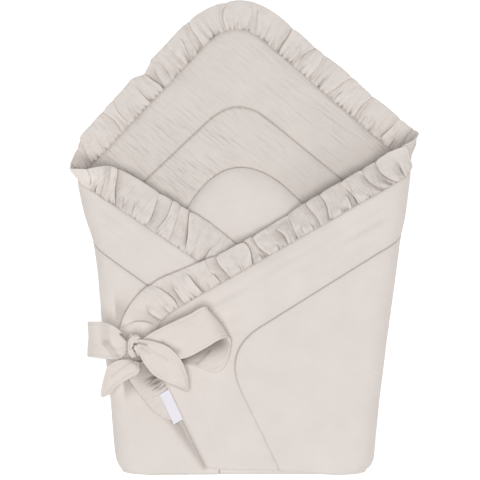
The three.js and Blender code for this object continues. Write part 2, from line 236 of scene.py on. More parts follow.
@dataclass
class ClothSolid:
    """A closed body made from a sheet: its upper side, its under side and a rounded rim.

    Attributes:
        sheet: The cloth.
        rim_steps: Points round the rim between the two sides.
        upper_relief: Extra height of the upper side.
        under_relief: Extra height of the under side.
    """

    sheet: Sheet
    rim_steps: int = 3
    upper_relief: Array | float = 0.0
    under_relief: Array | float = 0.0

    def _oriented(self) -> list[tuple[int, ...]]:
        """The faces turned so that they look up through the cloth.

        Returns:
            Corners of each face.
        """
        sheet = self.sheet
        sample = np.array([face[:3] for face in sheet.faces])
        a, b, c = (sheet.middle[sample[:, k]] for k in range(3))
        agreement = float(np.sum(np.cross(b - a, c - a) * sheet.normal[sample[:, 0]]))
        return sheet.faces if agreement > 0 else [tuple(reversed(face)) for face in sheet.faces]

    def _open_edges(self, faces: list[tuple[int, ...]]) -> list[tuple[int, int]]:
        """The edges that only one face has, in that face's direction."""
        edges = {(face[k - 1], face[k]) for face in faces for k in range(len(face))}
        return [edge for edge in edges if (edge[1], edge[0]) not in edges]

    def build(self, name: str, materials: Sequence[bpy.types.Material]) -> bpy.types.Object:
        """Makes the body.

        Args:
            name: Name of the object.
            materials: Finish of the upper side and rim, then of the under side if it differs.

        Returns:
            The new object, at the origin.
        """
        sheet = self.sheet
        faces = self._oriented()
        count = len(sheet.middle)
        half = (sheet.thick / 2.0)[:, None]
        upper = sheet.middle + sheet.normal * (half + np.reshape(self.upper_relief, (-1, 1)))
        under = sheet.middle - sheet.normal * (half + np.reshape(self.under_relief, (-1, 1)))
        edges = self._open_edges(faces)
        after = dict(edges)
        before = {end: start for start, end in edges}
        rim = np.array(sorted(after))
        tangent = sheet.middle[[after[k] for k in rim]] - sheet.middle[[before[k] for k in rim]]
        outward = unit(np.cross(tangent, sheet.normal[rim]))
        rings: dict[int, list[int]] = {int(k): [int(k)] for k in rim}
        layers = [upper, under]
        total = 2 * count
        for step in range(1, self.rim_steps + 1):
            angle = math.pi * step / (self.rim_steps + 1)
            centre = (upper[rim] + under[rim]) / 2.0
            radius = (sheet.thick[rim] / 2.0)[:, None]
            layers.append(centre + (sheet.normal[rim] * math.cos(angle) + outward * math.sin(angle)) * radius)
            for place, k in enumerate(rim):
                rings[int(k)].append(total + place)
            total += len(rim)
        for k in rim:
            rings[int(k)].append(int(k) + count)
        body = [tuple(face) for face in faces]
        lower = [tuple(corner + count for corner in reversed(face)) for face in faces]
        border = []
        for start, end in edges:
            near, far = rings[start], rings[end]
            border += [(near[k - 1], near[k], far[k], far[k - 1]) for k in range(1, len(near))]
        vertices = (np.vstack(layers) + FRAME_SHIFT) * MM
        rim_source = np.tile(rim, self.rim_steps)
        source = np.concatenate([np.arange(count), np.arange(count), rim_source])
        mesh = bpy.data.meshes.new(name)
        mesh.from_pydata(vertices.tolist(), [], body + lower + border)
        slots = [0] * len(body) + [min(1, len(materials) - 1)] * len(lower) + [0] * len(border)
        for material in materials:
            mesh.materials.append(material)
        mesh.polygons.foreach_set("material_index", slots)
        mesh.polygons.foreach_set("use_smooth", [True] * len(slots))
        corners = np.empty(len(mesh.loops), dtype=np.int64)
        mesh.loops.foreach_get("vertex_index", corners)
        for layer_name, values in (("cloth", sheet.flat), ("seam", sheet.seam)):
            layer = mesh.uv_layers.new(name=layer_name)
            layer.data.foreach_set("uv", (values[source[corners]] * MM).astype(np.float32).ravel())
        # Painted shade from the sheet, with a painted highlight where it is below 0.
        shade = mesh.attributes.new("crease_shade", "FLOAT", "POINT")
        shade.data.foreach_set("value", np.clip(sheet.shade[source], -0.15, 1).astype(np.float32))
        mesh.update()
        piece = bpy.data.objects.new(name, mesh)
        bpy.context.collection.objects.link(piece)
        return piece


@dataclass(frozen=True)
class Row:
    """One row of the padded square.

    Attributes:
        border: Share of the way from the sewn edge to the stitch line.
        field: Share of the way on from there to the foot.
    """

    border: float
    field: float

    def along(self, edge: float | Array, stitch: float | Array, foot: float | Array) -> float | Array:
        """The value between those at the edge, at the stitch line and at the foot."""
        return mix(mix(edge, stitch, self.border), foot, self.field)


@dataclass(frozen=True)
class FoldSide:
    """One side of the fold: the crease it turns up along, and the wing it makes.

    Attributes:
        sign: -1 on the left, 1 on the right.
        crease: Points down the crease, head end first.
        back_edge: Height at which the sewn edge meets the crease on the back.
        back_stitch: The same for the stitch line.
        wing_edge: Height at which the sewn edge leaves the crease on the wing.
        wing_stitch: The same for the stitch line.
        corner: The wing's free corner.
        stitch_corner: The stitch line's corner.
        foot: Where the free edge meets the foot.
        stitch_foot: Where the stitch line meets it.
        level: Height of the wing's middle.
    """

    sign: float
    crease: tuple[tuple[float, float], ...]
    back_edge: float
    back_stitch: float
    wing_edge: float
    wing_stitch: float
    corner: tuple[float, float]
    stitch_corner: tuple[float, float]
    foot: tuple[float, float]
    stitch_foot: tuple[float, float]
    level: float

    def crease_x(self, height: float | Array) -> Array:
        """Where the crease lies at a height, with its bends eased.

        Args:
            height: Height in the picture, up towards the head.

        Returns:
            Its sideways place there.
        """
        points = np.array(self.crease[::-1])
        offsets = np.linspace(-1.75, 1.75, 9)
        weights = np.exp(-(offsets**2))
        spread = 2.0 + 8.0 * smooth_step(points[0, 1] + 4.0, points[0, 1] + 40.0, height)
        heights = np.asarray(height, float)[..., None] + offsets * spread[..., None]
        return np.interp(heights, points[:, 1], points[:, 0]) @ weights / weights.sum()

    def crease_point(self, height: float) -> Array:
        """The crease's point at a height."""
        return np.array([float(self.crease_x(height)), height, 0.0])


LEFT_SIDE = FoldSide(
    sign=-1.0,
    crease=(
        (-206, 106), (-204, 74), (-195, 34), (-182, -4), (-176, -47), (-171, -111), (-160, -207),
        (-155, -265), (-153, -292), (-150, -302), (-146, -309), (-139, -313),
    ),
    back_edge=102, back_stitch=25, wing_edge=62, wing_stitch=-28,
    corner=(141, -165), stitch_corner=(41, -185), foot=(51, -310), stitch_foot=(-35, -311), level=39,
)
RIGHT_SIDE = FoldSide(
    sign=1.0,
    crease=(
        (197, 124), (196, 91), (188, 30), (181, 0), (175, -47), (171, -78), (162, -142), (152, -224),
        (147, -275), (146, -296), (142, -305), (136, -310), (128, -313),
    ),
    back_edge=121, back_stitch=33, wing_edge=70, wing_stitch=-19,
    corner=(-142, -122), stitch_corner=(-31, -150), foot=(-52, -304), stitch_foot=(45, -306), level=51,
)


# Painted shadow on the wings under the right wing's free edge, the bow's tails and its loops: start, end,
# width, narrowing, depth.
PAINTED_SHADOW_LINES = (
    ((-96, -240), (-55, -306), 7.5, 3.5, 0.9),
    ((-146, -186), (-174, -208), 13.0, 2.0, 0.95),
    ((-132, -130), (-92, -112), 9.0, 2.0, 0.35),
    ((-80, -200), (-104, -188), 3.5, 0.5, 0.7),
    ((-192, -93), (-150, -101), 16.0, 3.0, 0.7),
)


@dataclass
class SewnEdge:
    """The sewn edge of the square, from the left wing's foot round the head corner to the right wing's.

    Attributes:
        middle: Point on the edge.
        out: Way out of the cloth there.
        normal: Way up through the cloth there.
        along: Distance along the edge.
    """

    middle: Array
    out: Array
    normal: Array
    along: Array

    def read(self, distances: Array) -> tuple[Array, Array, Array]:
        """Point, way out and way up at distances along the edge."""
        def column(values: Array) -> Array:
            """Each of three columns read at the distances."""
            return np.stack([np.interp(distances, self.along, values[:, k]) for k in range(3)], axis=1)

        return column(self.middle), unit(column(self.out)), unit(column(self.normal))


@dataclass
class PaddedSquare:
    """The quilted square, folded: back, bottom flap, left wing and right wing in one padded body.

    Attributes:
        border_width: Distance from the sewn edge to the stitch line.
        field_length: Distance on from the stitch line to the foot.
        edge_thick: Thickness at the sewn edge.
        crown_thick: Full thickness between the lines.
        foot_thick: Thickness at the foot.
        flap_level: Height of the flap's middle.
        corner_reach: Where the wings' rounded corners start, back from the sharp corner.
        apex_reach: The same for the head corner.
        foot_y: Where the back ends at the foot.
        wing_foot_y: Where the wings end at the foot.
        head_corner: The sewn edge's corner at the head.
        head_stitch_corner: The stitch line's corner at the head.
        flap_left: The flap's left end.
        flap_top: Its sharp top corner.
        flap_right: Its right end.
        flap_reach: Where its rounded top starts, back from the sharp corner.
        flap_stitch: Share of the way up the flap at which its stitch line runs.
        rim_drop: How far the flap's edge lies down on the lining.
        flap_puff: How far the flap's border swells up.
        allowance_in: Distance in from the edge of the shallow groove where the seam allowance ends.
        flap_shares: Share of the way up the flap of each of its rows.
        wing_steps: Steps along a wing's edge, its corner and its other edge.
        back_steps: The same for the back.
        bend_steps: Steps round the bend of a side fold.
        border_rows: Rows between the sewn edge and the stitch line.
        rows: The rows, planned from these sizes.
    """

    border_width: float = 72.5
    field_length: float = 330.0
    edge_thick: float = 4.0
    crown_thick: float = 11.0
    foot_thick: float = 9.0
    flap_level: float = 17.0
    corner_reach: float = 62.0
    apex_reach: float = 56.0
    foot_y: float = -307.0
    wing_foot_y: float = -312.0
    head_corner: tuple[float, float] = (-15, 303)
    head_stitch_corner: tuple[float, float] = (-11, 197)
    flap_left: tuple[float, float] = (-120, -30)
    flap_top: tuple[float, float] = (-19, 143)
    flap_right: tuple[float, float] = (141, -15)
    flap_reach: float = 120.0
    flap_stitch: float = 0.7
    rim_drop: float = 3.4
    flap_puff: float = 5.0
    allowance_in: float = 16.0
    flap_shares: tuple[float, ...] = (
        0.06, 0.15, 0.25, 0.37, 0.48, 0.56, 0.62, 0.655, 0.675, 0.688, 0.694, 0.697, 0.7, 0.703, 0.71, 0.725,
        0.75, 0.78, 0.82, 0.86, 0.9, 0.93, 0.955, 0.972, 0.985, 0.994, 0.9985, 1.0,
    )
    wing_steps: tuple[int, int, int] = (60, 24, 34)
    back_steps: tuple[int, int, int] = (46, 28, 46)
    bend_steps: int = 20
    border_rows: int = 22
    rows: list[Row] = field(default_factory=list)

    def __post_init__(self) -> None:
        """Plans the rows, close together at the edge and beside the stitch line."""
        steps = np.arange(self.border_rows + 1)
        borders = 0.5 * (1 - np.cos(math.pi * steps / self.border_rows))
        near = [0.4, 1.1, 2.2, 4.0, 6.5, 10.0, 15.0]
        fields = np.array(near + list(np.arange(24.0, self.field_length, 9.4))) / self.field_length
        self.rows = [Row(float(border), 0.0) for border in borders]
        self.rows += [Row(1.0, float(part)) for part in fields] + [Row(1.0, 1.0)]

    def thickness(self, border_in: Array, stitch_beyond: Array) -> Array:
        """Thickness of the filled cloth.

        Args:
            border_in: Distance in from the sewn edge, up to the stitch line.
            stitch_beyond: Distance on from the stitch line, 0 before it.

        Returns:
            Thickness at each place.
        """
        before = self.border_width - border_in
        puffed = self.edge_thick + (self.crown_thick - self.edge_thick) * (
            1 - 0.28 * np.exp(-border_in / 1.7) - 0.72 * np.exp(-border_in / 12.0)
        )
        allowance = 0.35 * np.exp(-(((border_in - self.allowance_in) / 2.2) ** 2))
        border_dip = 0.9 * np.exp(-before / 11.0) + 2.6 * np.exp(-before / 0.8) + allowance
        field_dip = 0.6 * np.exp(-stitch_beyond / 9.0) + 2.9 * np.exp(-stitch_beyond / 0.8)
        thick = np.where(stitch_beyond > 0, self.crown_thick - field_dip, puffed - border_dip)
        foot = smooth_step(0.86, 1.0, stitch_beyond / self.field_length)
        return mix(thick, self.foot_thick, foot)

    def _row_thickness(self) -> Array:
        """Thickness of each row.

        Returns:
            One thickness for each row.
        """
        border = np.array([row.border for row in self.rows]) * self.border_width
        beyond = np.array([row.field for row in self.rows]) * self.field_length
        return self.thickness(border, beyond)

    def _wing_row(self, row: Row, side: FoldSide) -> Array:
        """One row of a wing from its foot round its free corner to the crease.

        Args:
            row: The row.
            side: Side of the fold that the wing is on.

        Returns:
            Its middle points.
        """
        crease_foot = side.crease_point(self.wing_foot_y)
        start, corner = (
            np.array([row.along(edge[axis], stitch[axis], crease_foot[axis]) for axis in (0, 1)] + [0.0])
            for edge, stitch in ((side.foot, side.stitch_foot), (side.corner, side.stitch_corner))
        )
        end = side.crease_point(float(row.along(side.wing_edge, side.wing_stitch, self.wing_foot_y)))
        counts = self.wing_steps[::-1]
        points = rounded_line(start, corner, end, self.corner_reach, counts)
        points[:, 2] = side.level
        return points

    def _bend_row(self, row: Row, side: FoldSide, back_level: float) -> tuple[Array, Array]:
        """The half round of cloth between a wing and the back at one row, with its way out.

        Args:
            row: The row.
            side: Side of the fold.
            back_level: Height of the back's middle at this row.

        Returns:
            The middle points and the way out of the cloth at each.
        """
        wing_y = row.along(side.wing_edge, side.wing_stitch, self.wing_foot_y)
        back_y = row.along(side.back_edge, side.back_stitch, self.foot_y)
        radius = (side.level - back_level) / 2.0
        share = np.arange(1, self.bend_steps) / self.bend_steps
        angle = math.pi * share
        heights = mix(wing_y, back_y, share)
        normal = np.stack([side.sign * np.sin(angle), np.zeros_like(angle), np.cos(angle)], axis=1)
        points = np.stack([
            side.crease_x(heights) + radius * normal[:, 0],
            heights,
            back_level + radius * (1 + normal[:, 2]),
        ], axis=1)
        return points, normal

    def _back_row(self, row: Row) -> Array:
        """One row of the back, from the left crease round the head corner to the right crease.

        Args:
            row: The row.

        Returns:
            Its middle points.
        """
        foot_x = float(LEFT_SIDE.crease_x(self.foot_y) + RIGHT_SIDE.crease_x(self.foot_y)) / 2.0
        corner = np.array([
            row.along(self.head_corner[0], self.head_stitch_corner[0], foot_x),
            row.along(self.head_corner[1], self.head_stitch_corner[1], self.foot_y),
            0.0,
        ])
        ends = [
            side.crease_point(float(row.along(side.back_edge, side.back_stitch, self.foot_y)))
            for side in (LEFT_SIDE, RIGHT_SIDE)
        ]
        return rounded_line(ends[0], corner, ends[1], self.apex_reach, self.back_steps)

    def main_grid(self) -> tuple[Array, Array, Array]:
        """Rows of left wing, left bend, back, right bend and right wing.

        Returns:
            Middle points, ways up through the cloth, and the thickness of each row.
        """
        thicks = self._row_thickness()
        middles, normals = [], []
        for row, thick in zip(self.rows, thicks):
            left_wing = self._wing_row(row, LEFT_SIDE)
            right_wing = self._wing_row(row, RIGHT_SIDE)[::-1]
            back = self._back_row(row)
            back[:, 2] = thick / 2.0
            left_bend, left_out = self._bend_row(row, LEFT_SIDE, thick / 2.0)
            right_bend, right_out = self._bend_row(row, RIGHT_SIDE, thick / 2.0)
            middles.append(np.vstack([left_wing, left_bend, back, right_bend[::-1], right_wing]))
            normals.append(np.vstack([
                np.tile(UP, (len(left_wing), 1)), left_out, np.tile(-UP, (len(back), 1)),
                right_out[::-1], np.tile(UP, (len(right_wing), 1)),
            ]))
        return np.array(middles), np.array(normals), thicks

    def column_spans(self) -> dict[str, slice]:
        """Columns of each part of a main row.

        Returns:
            The span of each part, by its name.
        """
        wing = sum(self.wing_steps) + 1
        bend = self.bend_steps - 1
        back = sum(self.back_steps) + 1
        return {
            "left_wing": slice(0, wing),
            "left_bend": slice(wing, wing + bend),
            "back": slice(wing + bend, wing + bend + back),
            "right_bend": slice(wing + bend + back, wing + 2 * bend + back),
            "right_wing": slice(wing + 2 * bend + back, 2 * wing + 2 * bend + back),
        }

    def flap_grid(self, foot: Array, foot_thick: float) -> tuple[Array, Array, Array]:
        """Rows of the corner flap from the back's foot round the bottom bend to its rounded top.

        Args:
            foot: The back's last row.
            foot_thick: Its thickness.

        Returns:
            Middle points, ways up, and each row's share of the way to the flap's edge, without the first row.
        """
        start = foot_thick / 2.0
        radius = (self.flap_level - start) / 2.0
        middles, normals = [], []
        bend = 10
        for k in range(1, bend + 1):
            angle = math.pi * k / bend
            normal = np.array([0.0, -math.sin(angle), -math.cos(angle)])
            row = foot.copy()
            row[:, 1] += radius * normal[1]
            row[:, 2] = start + radius * (1 + normal[2])
            middles.append(row)
            normals.append(np.tile(normal, (len(row), 1)))
        base = middles[-1]
        corners = [np.array([*point, 0.0]) for point in (self.flap_left, self.flap_top, self.flap_right)]
        top = rounded_line(*corners, self.flap_reach, self.back_steps)
        top[:, 2] = self.flap_level
        for share in self.flap_shares:
            row = mix(base, top, share)
            middles.append(row)
            normals.append(np.tile(UP, (len(row), 1)))
        shares = np.concatenate([np.zeros(bend), self.flap_shares])
        return np.array(middles), np.array(normals), shares

    def flap_thickness(self, shares: Array) -> Array:
        """Thickness of each flap row, by its share of the way from the foot to the flap's edge.

        Args:
            shares: Share of each row.

        Returns:
            One thickness for each row.
        """
        border_in = self.border_width * np.clip((1 - shares) / (1 - self.flap_stitch), 0, 1)
        beyond = self.field_length * np.clip((self.flap_stitch - shares) / self.flap_stitch, 0, 1)
        return self.thickness(border_in, beyond)

    def fold(self) -> tuple[Sheet, dict[str, Array]]:
        """Folds the whole square.

        Returns:
            The cloth, and the lines that other pieces follow: the sewn edge and the stitch line.
        """
        middle, normal, row_thick = self.main_grid()
        spans = self.column_spans()
        rows, columns = middle.shape[:2]
        thick = np.tile(row_thick[:, None], (1, columns))
        stitch = self.border_rows
        run = np.concatenate([[0.0], np.cumsum(np.linalg.norm(np.diff(middle[stitch], axis=0), axis=1))])
        across = np.array([
            row.border * self.border_width - self.border_width + row.field * self.field_length
            for row in self.rows
        ])
        lift = self.relief(middle, run[None, :], across[:, None])
        for name in ("left_wing", "right_wing"):
            lift[:, spans[name]] += self.drag_lines(run[None, spans[name]], across[:, None])
        pulled = self.pouch_shade(middle[:, spans["back"]])
        plan = middle[:, spans["back"]] * np.array([1.0, 1.0, 0.0])
        lift[:, spans["back"]] += 2.2 * pulled * soft_relief(plan * np.array([0.45, 1.0, 1.0]), 15.0, 77)
        on_back = np.zeros(columns)
        on_back[spans["back"]] = 1.0
        for name, share in (("left_bend", np.linspace(0, 1, self.bend_steps + 1)[1:-1]),
                            ("right_bend", np.linspace(1, 0, self.bend_steps + 1)[1:-1])):
            on_back[spans[name]] = smooth_step(0.3, 1.0, share)
        thick += lift * on_back
        middle[..., 2] += lift * (1 - on_back / 2.0)
        flat = middle[..., :2].copy()
        for name, side in (("left_bend", LEFT_SIDE), ("right_bend", RIGHT_SIDE)):
            part = middle[:, spans[name]]
            crease = side.crease_x(part[..., 1])
            flat[:, spans[name], 0] = crease + (part[..., 0] - crease) * (math.pi / 2)
        seam = np.stack([np.tile(run, (rows, 1)), np.tile(across[:, None], (1, columns))], axis=-1)
        foot = middle[-1, spans["back"]]
        flap_middle, flap_normal, shares = self.flap_grid(foot, self.foot_thick)
        flap_lift = self.relief(flap_middle, run[None, spans["back"]], 300.0 * (1 - shares)[:, None])
        flap_middle[..., 2] += flap_lift * smooth_step(0.0, 0.2, shares)[:, None]
        to_rim = self.border_width * (1 - shares) / (1 - self.flap_stitch)
        puff = self.flap_puff * np.sin(math.pi * np.clip(to_rim / self.border_width, 0, 1)) ** 0.8
        flap_middle[..., 2] += (puff * (shares > self.flap_stitch))[:, None]
        drop = self.rim_drop * np.exp(-to_rim / 13.0) * smooth_step(0.3, 0.7, shares)
        flap_middle[..., 2] -= drop[:, None]
        flap_thick = np.tile(self.flap_thickness(shares)[:, None], (1, len(foot)))
        flap_seam = np.stack([
            np.tile(run[spans["back"]], (len(shares), 1)),
            np.tile((self.flap_stitch - shares)[:, None] * 240.0, (1, len(foot))),
        ], axis=-1)
        lines = {"edge": middle[0].copy(), "edge_normal": normal[0].copy(), "stitch": middle[stitch].copy(),
                 "stitch_normal": normal[stitch].copy(), "stitch_thick": thick[stitch].copy(),
                 "inner": middle[3].copy()}
        # Painted shade in the stitch groove and at the sewn edge, fainter down the right wing and on the
        # back; painted shadow under the right wing's free edge, the bow and along the wings' foot; painted
        # shade on the lining beside the wings. The flap gets the groove's and edge's painted shade too.
        border_in = np.array([row.border for row in self.rows]) * self.border_width
        shade = np.tile(self.seam_shade(border_in, across)[:, None], (1, columns))
        to_foot = self.field_length * (1 - np.array([row.field for row in self.rows]))
        up_wing = smooth_step(-240.0, -120.0, middle[:, spans["right_wing"], 1])
        shade[:, spans["right_wing"]] *= mix(0.3, 1.0, up_wing)
        for name in ("left_wing", "right_wing"):
            shade[:, spans[name]] += self.covered_shade(middle[:, spans[name]])
            inside = 1 - smooth_step(110.0, 135.0, np.abs(middle[:, spans[name], 0]))
            shade[:, spans[name]] += (0.7 * np.exp(-to_foot / 5.0))[:, None] * inside
        shade[:, spans["back"]] *= 0.55
        shade[:, spans["back"]] += self.pouch_shade(middle[:, spans["back"]])
        flap_border = self.border_width * np.clip((1 - shares) / (1 - self.flap_stitch), 0, 1)
        flap_shade = np.tile(self.seam_shade(flap_border + 9.0, flap_seam[:, 0, 1])[:, None], (1, len(foot)))
        every = {
            "middle": np.vstack([middle.reshape(-1, 3), flap_middle.reshape(-1, 3)]),
            "shade": np.concatenate([shade.ravel(), flap_shade.ravel()]),
            "normal": np.vstack([normal.reshape(-1, 3), flap_normal.reshape(-1, 3)]),
            "thick": np.concatenate([thick.ravel(), flap_thick.ravel()]),
            "flat": np.vstack([flat.reshape(-1, 2), flap_middle[..., :2].reshape(-1, 2)]),
            "seam": np.vstack([seam.reshape(-1, 2), flap_seam.reshape(-1, 2)]),
        }
        main_ids = np.arange(rows * columns).reshape(rows, columns)
        flap_ids = rows * columns + np.arange(flap_middle.shape[0] * len(foot)).reshape(-1, len(foot))
        flap_ids = np.vstack([main_ids[-1, spans["back"]], flap_ids])
        places = np.round(every["middle"], 2)
        _, first, inverse = np.unique(places, axis=0, return_index=True, return_inverse=True)
        inverse = inverse.reshape(-1)
        faces = grid_faces(inverse[main_ids]) + [tuple(reversed(f)) for f in grid_faces(inverse[flap_ids])]
        return Sheet(faces=faces, **{key: values[first] for key, values in every.items()}), lines

    @staticmethod
    def covered_shade(points: Array) -> Array:
        """Painted shadow on each place of the wings, under the right wing's free edge and the bow.

        Args:
            points: Places on a wing.

        Returns:
            Depth of shade, 0 to 1.
        """
        shade = np.zeros(points.shape[:2])
        for start, end, width, narrow, depth in PAINTED_SHADOW_LINES:
            start, way = np.array(start), np.array(end) - np.array(start)
            offset = points[..., :2] - start
            along = np.clip(offset @ way / (way @ way), 0, 1)
            distance = np.linalg.norm(offset - along[..., None] * way, axis=-1)
            shade += depth * np.exp(-((distance / (width - narrow * along)) ** 2)) * (1 - 0.4 * along)
        return shade

    @staticmethod
    def pouch_shade(points: Array) -> Array:
        """Painted shade on each place of the open lining beside the wings.

        Args:
            points: Places on the back.

        Returns:
            Depth of shade, 0 to 1.
        """
        shade = np.zeros(points.shape[:2])
        for side, depth in ((LEFT_SIDE, 0.16), (RIGHT_SIDE, 0.5)):
            start, end = side.crease_point(side.wing_edge)[:2], np.array(side.corner)
            way = (end - start) / np.linalg.norm(end - start)
            headward = np.array([-way[1], way[0]]) * -side.sign
            past = np.maximum((points[..., :2] - start) @ headward - 30.0, 0.0)
            shade = np.maximum(shade, depth * np.exp(-past / 42.0))
        return shade

    @staticmethod
    def seam_shade(border_in: Array, across: Array) -> Array:
        """Painted shade in the stitch line's groove and at the sewn edge, by place.

        Args:
            border_in: Distance in from the sewn edge.
            across: Distance from the stitch line.

        Returns:
            Depth of shade, 0 to 1.
        """
        groove = 1.0 * np.exp(-((across / 0.75) ** 2)) + 0.1 * np.exp(-np.abs(across) / 4.0)
        return groove + 0.5 * np.exp(-border_in / 1.2)

    @staticmethod
    def drag_lines(run: Array, across: Array) -> Array:
        """Long soft wrinkles of a wing's border, beside its gathered edge.

        Args:
            run: Distance along the stitch line of each column.
            across: Distance of each row from the stitch line.

        Returns:
            Height to add at each place.
        """
        place = np.stack([0.09 * run + 0 * across, across + 0 * run, 0 * run + 0 * across], axis=-1)
        within = smooth_step(-66.0, -54.0, across) * (1 - smooth_step(-30.0, -8.0, across))
        return 1.5 * soft_relief(place, 9.0, 21) * within

    def relief(self, points: Array, run: Array, across: Array) -> Array:
        """Soft unevenness of the filled cloth, with small puckers drawn in by the stitch line.

        Args:
            points: Places on the cloth.
            run: Distance along the stitch line at each place.
            across: Distance from the stitch line.

        Returns:
            Height to add at each place.
        """
        plan = points * np.array([1.0, 1.0, 0.0])
        swell = 0.9 * soft_relief(plan, 95.0, 3) + 0.45 * soft_relief(plan, 38.0, 5)
        line = np.stack([run + 0 * across, 0.25 * across + 0 * run, 0 * run + 0 * across], axis=-1)
        gathers = 0.55 * soft_relief(line, 17.0, 8) * np.exp(-np.abs(across) / 13.0)
        return (swell + gathers) * smooth_step(-self.border_width, -self.border_width + 14.0, across)


@dataclass(frozen=True)
class Pleat:
    """One pressed pleat of the frill, by distance along the sewn edge.

    Attributes:
        seam: Where its line leaves the seam.
        middle: Where the line is half way out.
        outer: Where it meets the outer edge.
        start: Share of the width at which it starts.
        end: Share at which it ends.
        depth: How deep it is, up to 1.
        side: 1 if the cloth further along lies on top, -1 if the cloth before it does.
    """

    seam: float
    middle: float
    outer: float
    start: float
    end: float
    depth: float
    side: float


PLEATS = tuple(Pleat(*measures) for measures in (
    (172, 172, 174, 0, 1, 0.6, 1), (201, 203, 204, 0, 1, 0.7, -1), (236, 238, 240, 0, 0.8, 0.5, 1),
    (262, 263, 262, 0, 1, 0.7, 1), (296, 294, 297, 0, 0.7, 0.5, -1), (325, 327, 329, 0, 1, 0.8, -1),
    (352, 351, 354, 0, 0.7, 0.5, 1), (384, 388, 392, 0, 0.5, 0.5, -1), (414, 425, 437, 0.2, 1, 1, -1),
    (440, 445, 454, 0.2, 0.85, 0.4, 1), (462, 462, 466, 0.1, 1, 0.5, -1),
    (479, 480, 485, 0.1, 0.85, 0.6, 1), (500, 502, 505, 0, 0.4, 0.3, -1),
    (515, 520, 520, 0.1, 0.3, 0.4, 1), (526, 541, 553, 0, 1, 0.9, 1), (548, 553, 553, 0, 0.4, 0.4, -1),
    (558, 568, 568, 0, 0.3, 0.7, -1), (570, 571, 574, 0.3, 1, 0.4, 1), (589, 590, 591, 0, 1, 0.6, -1),
    (606, 608, 608, 0, 0.8, 0.6, 1), (631, 637, 642, 0, 1, 0.9, 1), (652, 653, 653, 0, 0.4, 0.4, -1),
    (668, 668, 668, 0, 0.3, 0.4, 1), (689, 692, 692, 0, 1, 0.95, 1), (703, 706, 711, 0.1, 1, 0.4, -1),
    (718, 719, 719, 0, 0.4, 0.4, 1), (729, 732, 732, 0, 0.35, 0.35, 1),
    (744, 743, 743, 0, 0.75, 0.55, -1), (769, 767, 768, 0, 0.9, 1, -1), (774, 779, 781, 0, 0.7, 0.4, 1),
    (785, 788, 789, 0, 0.75, 0.4, -1), (799, 800, 800, 0, 0.3, 0.35, 1),
    (813, 816, 816, 0, 0.65, 0.4, 1), (823, 831, 834, 0, 0.75, 0.6, -1),
    (831, 834, 834, 0, 0.15, 0.5, 1), (849, 852, 858, 0, 1, 1, 1), (868, 869, 869, 0, 0.25, 0.45, -1),
    (887, 890, 892, 0, 0.85, 0.65, 1), (902, 901, 901, 0, 0.25, 0.45, 1),
    (914, 912, 911, 0.1, 0.8, 0.4, -1), (926, 922, 919, 0.1, 0.75, 0.4, 1),
    (941, 937, 937, 0, 0.45, 0.35, 1), (955, 947, 947, 0, 0.2, 0.5, -1), (968, 966, 960, 0, 1, 1, 1),
    (987, 985, 984, 0, 0.6, 0.6, -1), (995, 995, 1000, 0.45, 1, 0.7, -1),
    (1007, 1007, 1007, 0, 0.3, 0.4, 1), (1019, 1018, 1014, 0.1, 1, 0.6, -1),
    (1036, 1036, 1037, 0, 0.4, 0.4, 1), (1053, 1056, 1064, 0.3, 1, 0.8, -1),
    (1066, 1063, 1063, 0, 0.4, 0.6, 1), (1083, 1083, 1083, 0, 0.3, 0.35, -1),
    (1101, 1099, 1100, 0, 1, 0.9, -1), (1115, 1113, 1113, 0, 0.3, 0.35, 1),
    (1129, 1129, 1129, 0, 0.3, 0.45, -1), (1148, 1147, 1150, 0.1, 1, 0.8, 1),
    (1162, 1157, 1157, 0, 0.35, 0.7, -1), (1180, 1178, 1178, 0, 1, 0.6, 1),
    (1197, 1197, 1197, 0, 0.8, 0.5, -1), (1216, 1216, 1217, 0, 1, 0.6, 1),
    (1233, 1235, 1236, 0, 0.6, 0.5, -1), (1249, 1257, 1257, 0, 1, 0.75, -1),
    (1264, 1279, 1283, 0, 0.85, 0.9, -1), (1273, 1273, 1273, 0, 0.1, 0.5, 1),
    (1288, 1288, 1288, 0, 0.1, 0.5, 1), (1307, 1309, 1313, 0, 1, 1, -1),
    (1319, 1314, 1314, 0, 0.5, 0.6, 1), (1334, 1333, 1333, 0, 0.2, 0.5, 1),
    (1351, 1347, 1346, 0, 1, 0.85, -1), (1366, 1365, 1367, 0, 1, 0.7, -1),
    (1378, 1377, 1377, 0, 0.2, 0.6, 1), (1390, 1390, 1390, 0, 0.35, 0.6, -1),
    (1400, 1398, 1398, 0, 0.9, 0.55, -1), (1416, 1417, 1426, 0, 0.8, 0.85, -1),
    (1430, 1430, 1430, 0, 0.2, 0.5, 1), (1445, 1449, 1451, 0, 0.95, 1, -1),
    (1457, 1457, 1457, 0, 0.2, 0.5, 1), (1473, 1468, 1469, 0, 0.95, 1, 1),
    (1489, 1488, 1488, 0, 0.2, 0.5, 1), (1505, 1509, 1507, 0, 1, 0.9, -1),
    (1521, 1521, 1521, 0, 0.4, 0.6, 1), (1535, 1535, 1535, 0, 0.2, 0.4, -1),
    (1549, 1551, 1556, 0, 0.75, 0.8, 1), (1561, 1561, 1561, 0, 0.2, 0.4, 1),
    (1575, 1580, 1585, 0, 0.6, 0.8, -1), (1587, 1588, 1596, 0.1, 0.85, 0.5, 1),
    (1600, 1600, 1600, 0, 0.25, 0.4, -1), (1613, 1615, 1616, 0, 0.5, 0.8, -1),
    (1625, 1630, 1637, 0.2, 0.7, 0.4, 1), (1648, 1650, 1652, 0, 0.5, 0.6, -1),
    (1668, 1670, 1672, 0, 0.7, 0.6, 1), (1689, 1693, 1698, 0, 0.55, 0.8, -1),
    (1703, 1705, 1709, 0, 0.5, 0.5, 1),
))


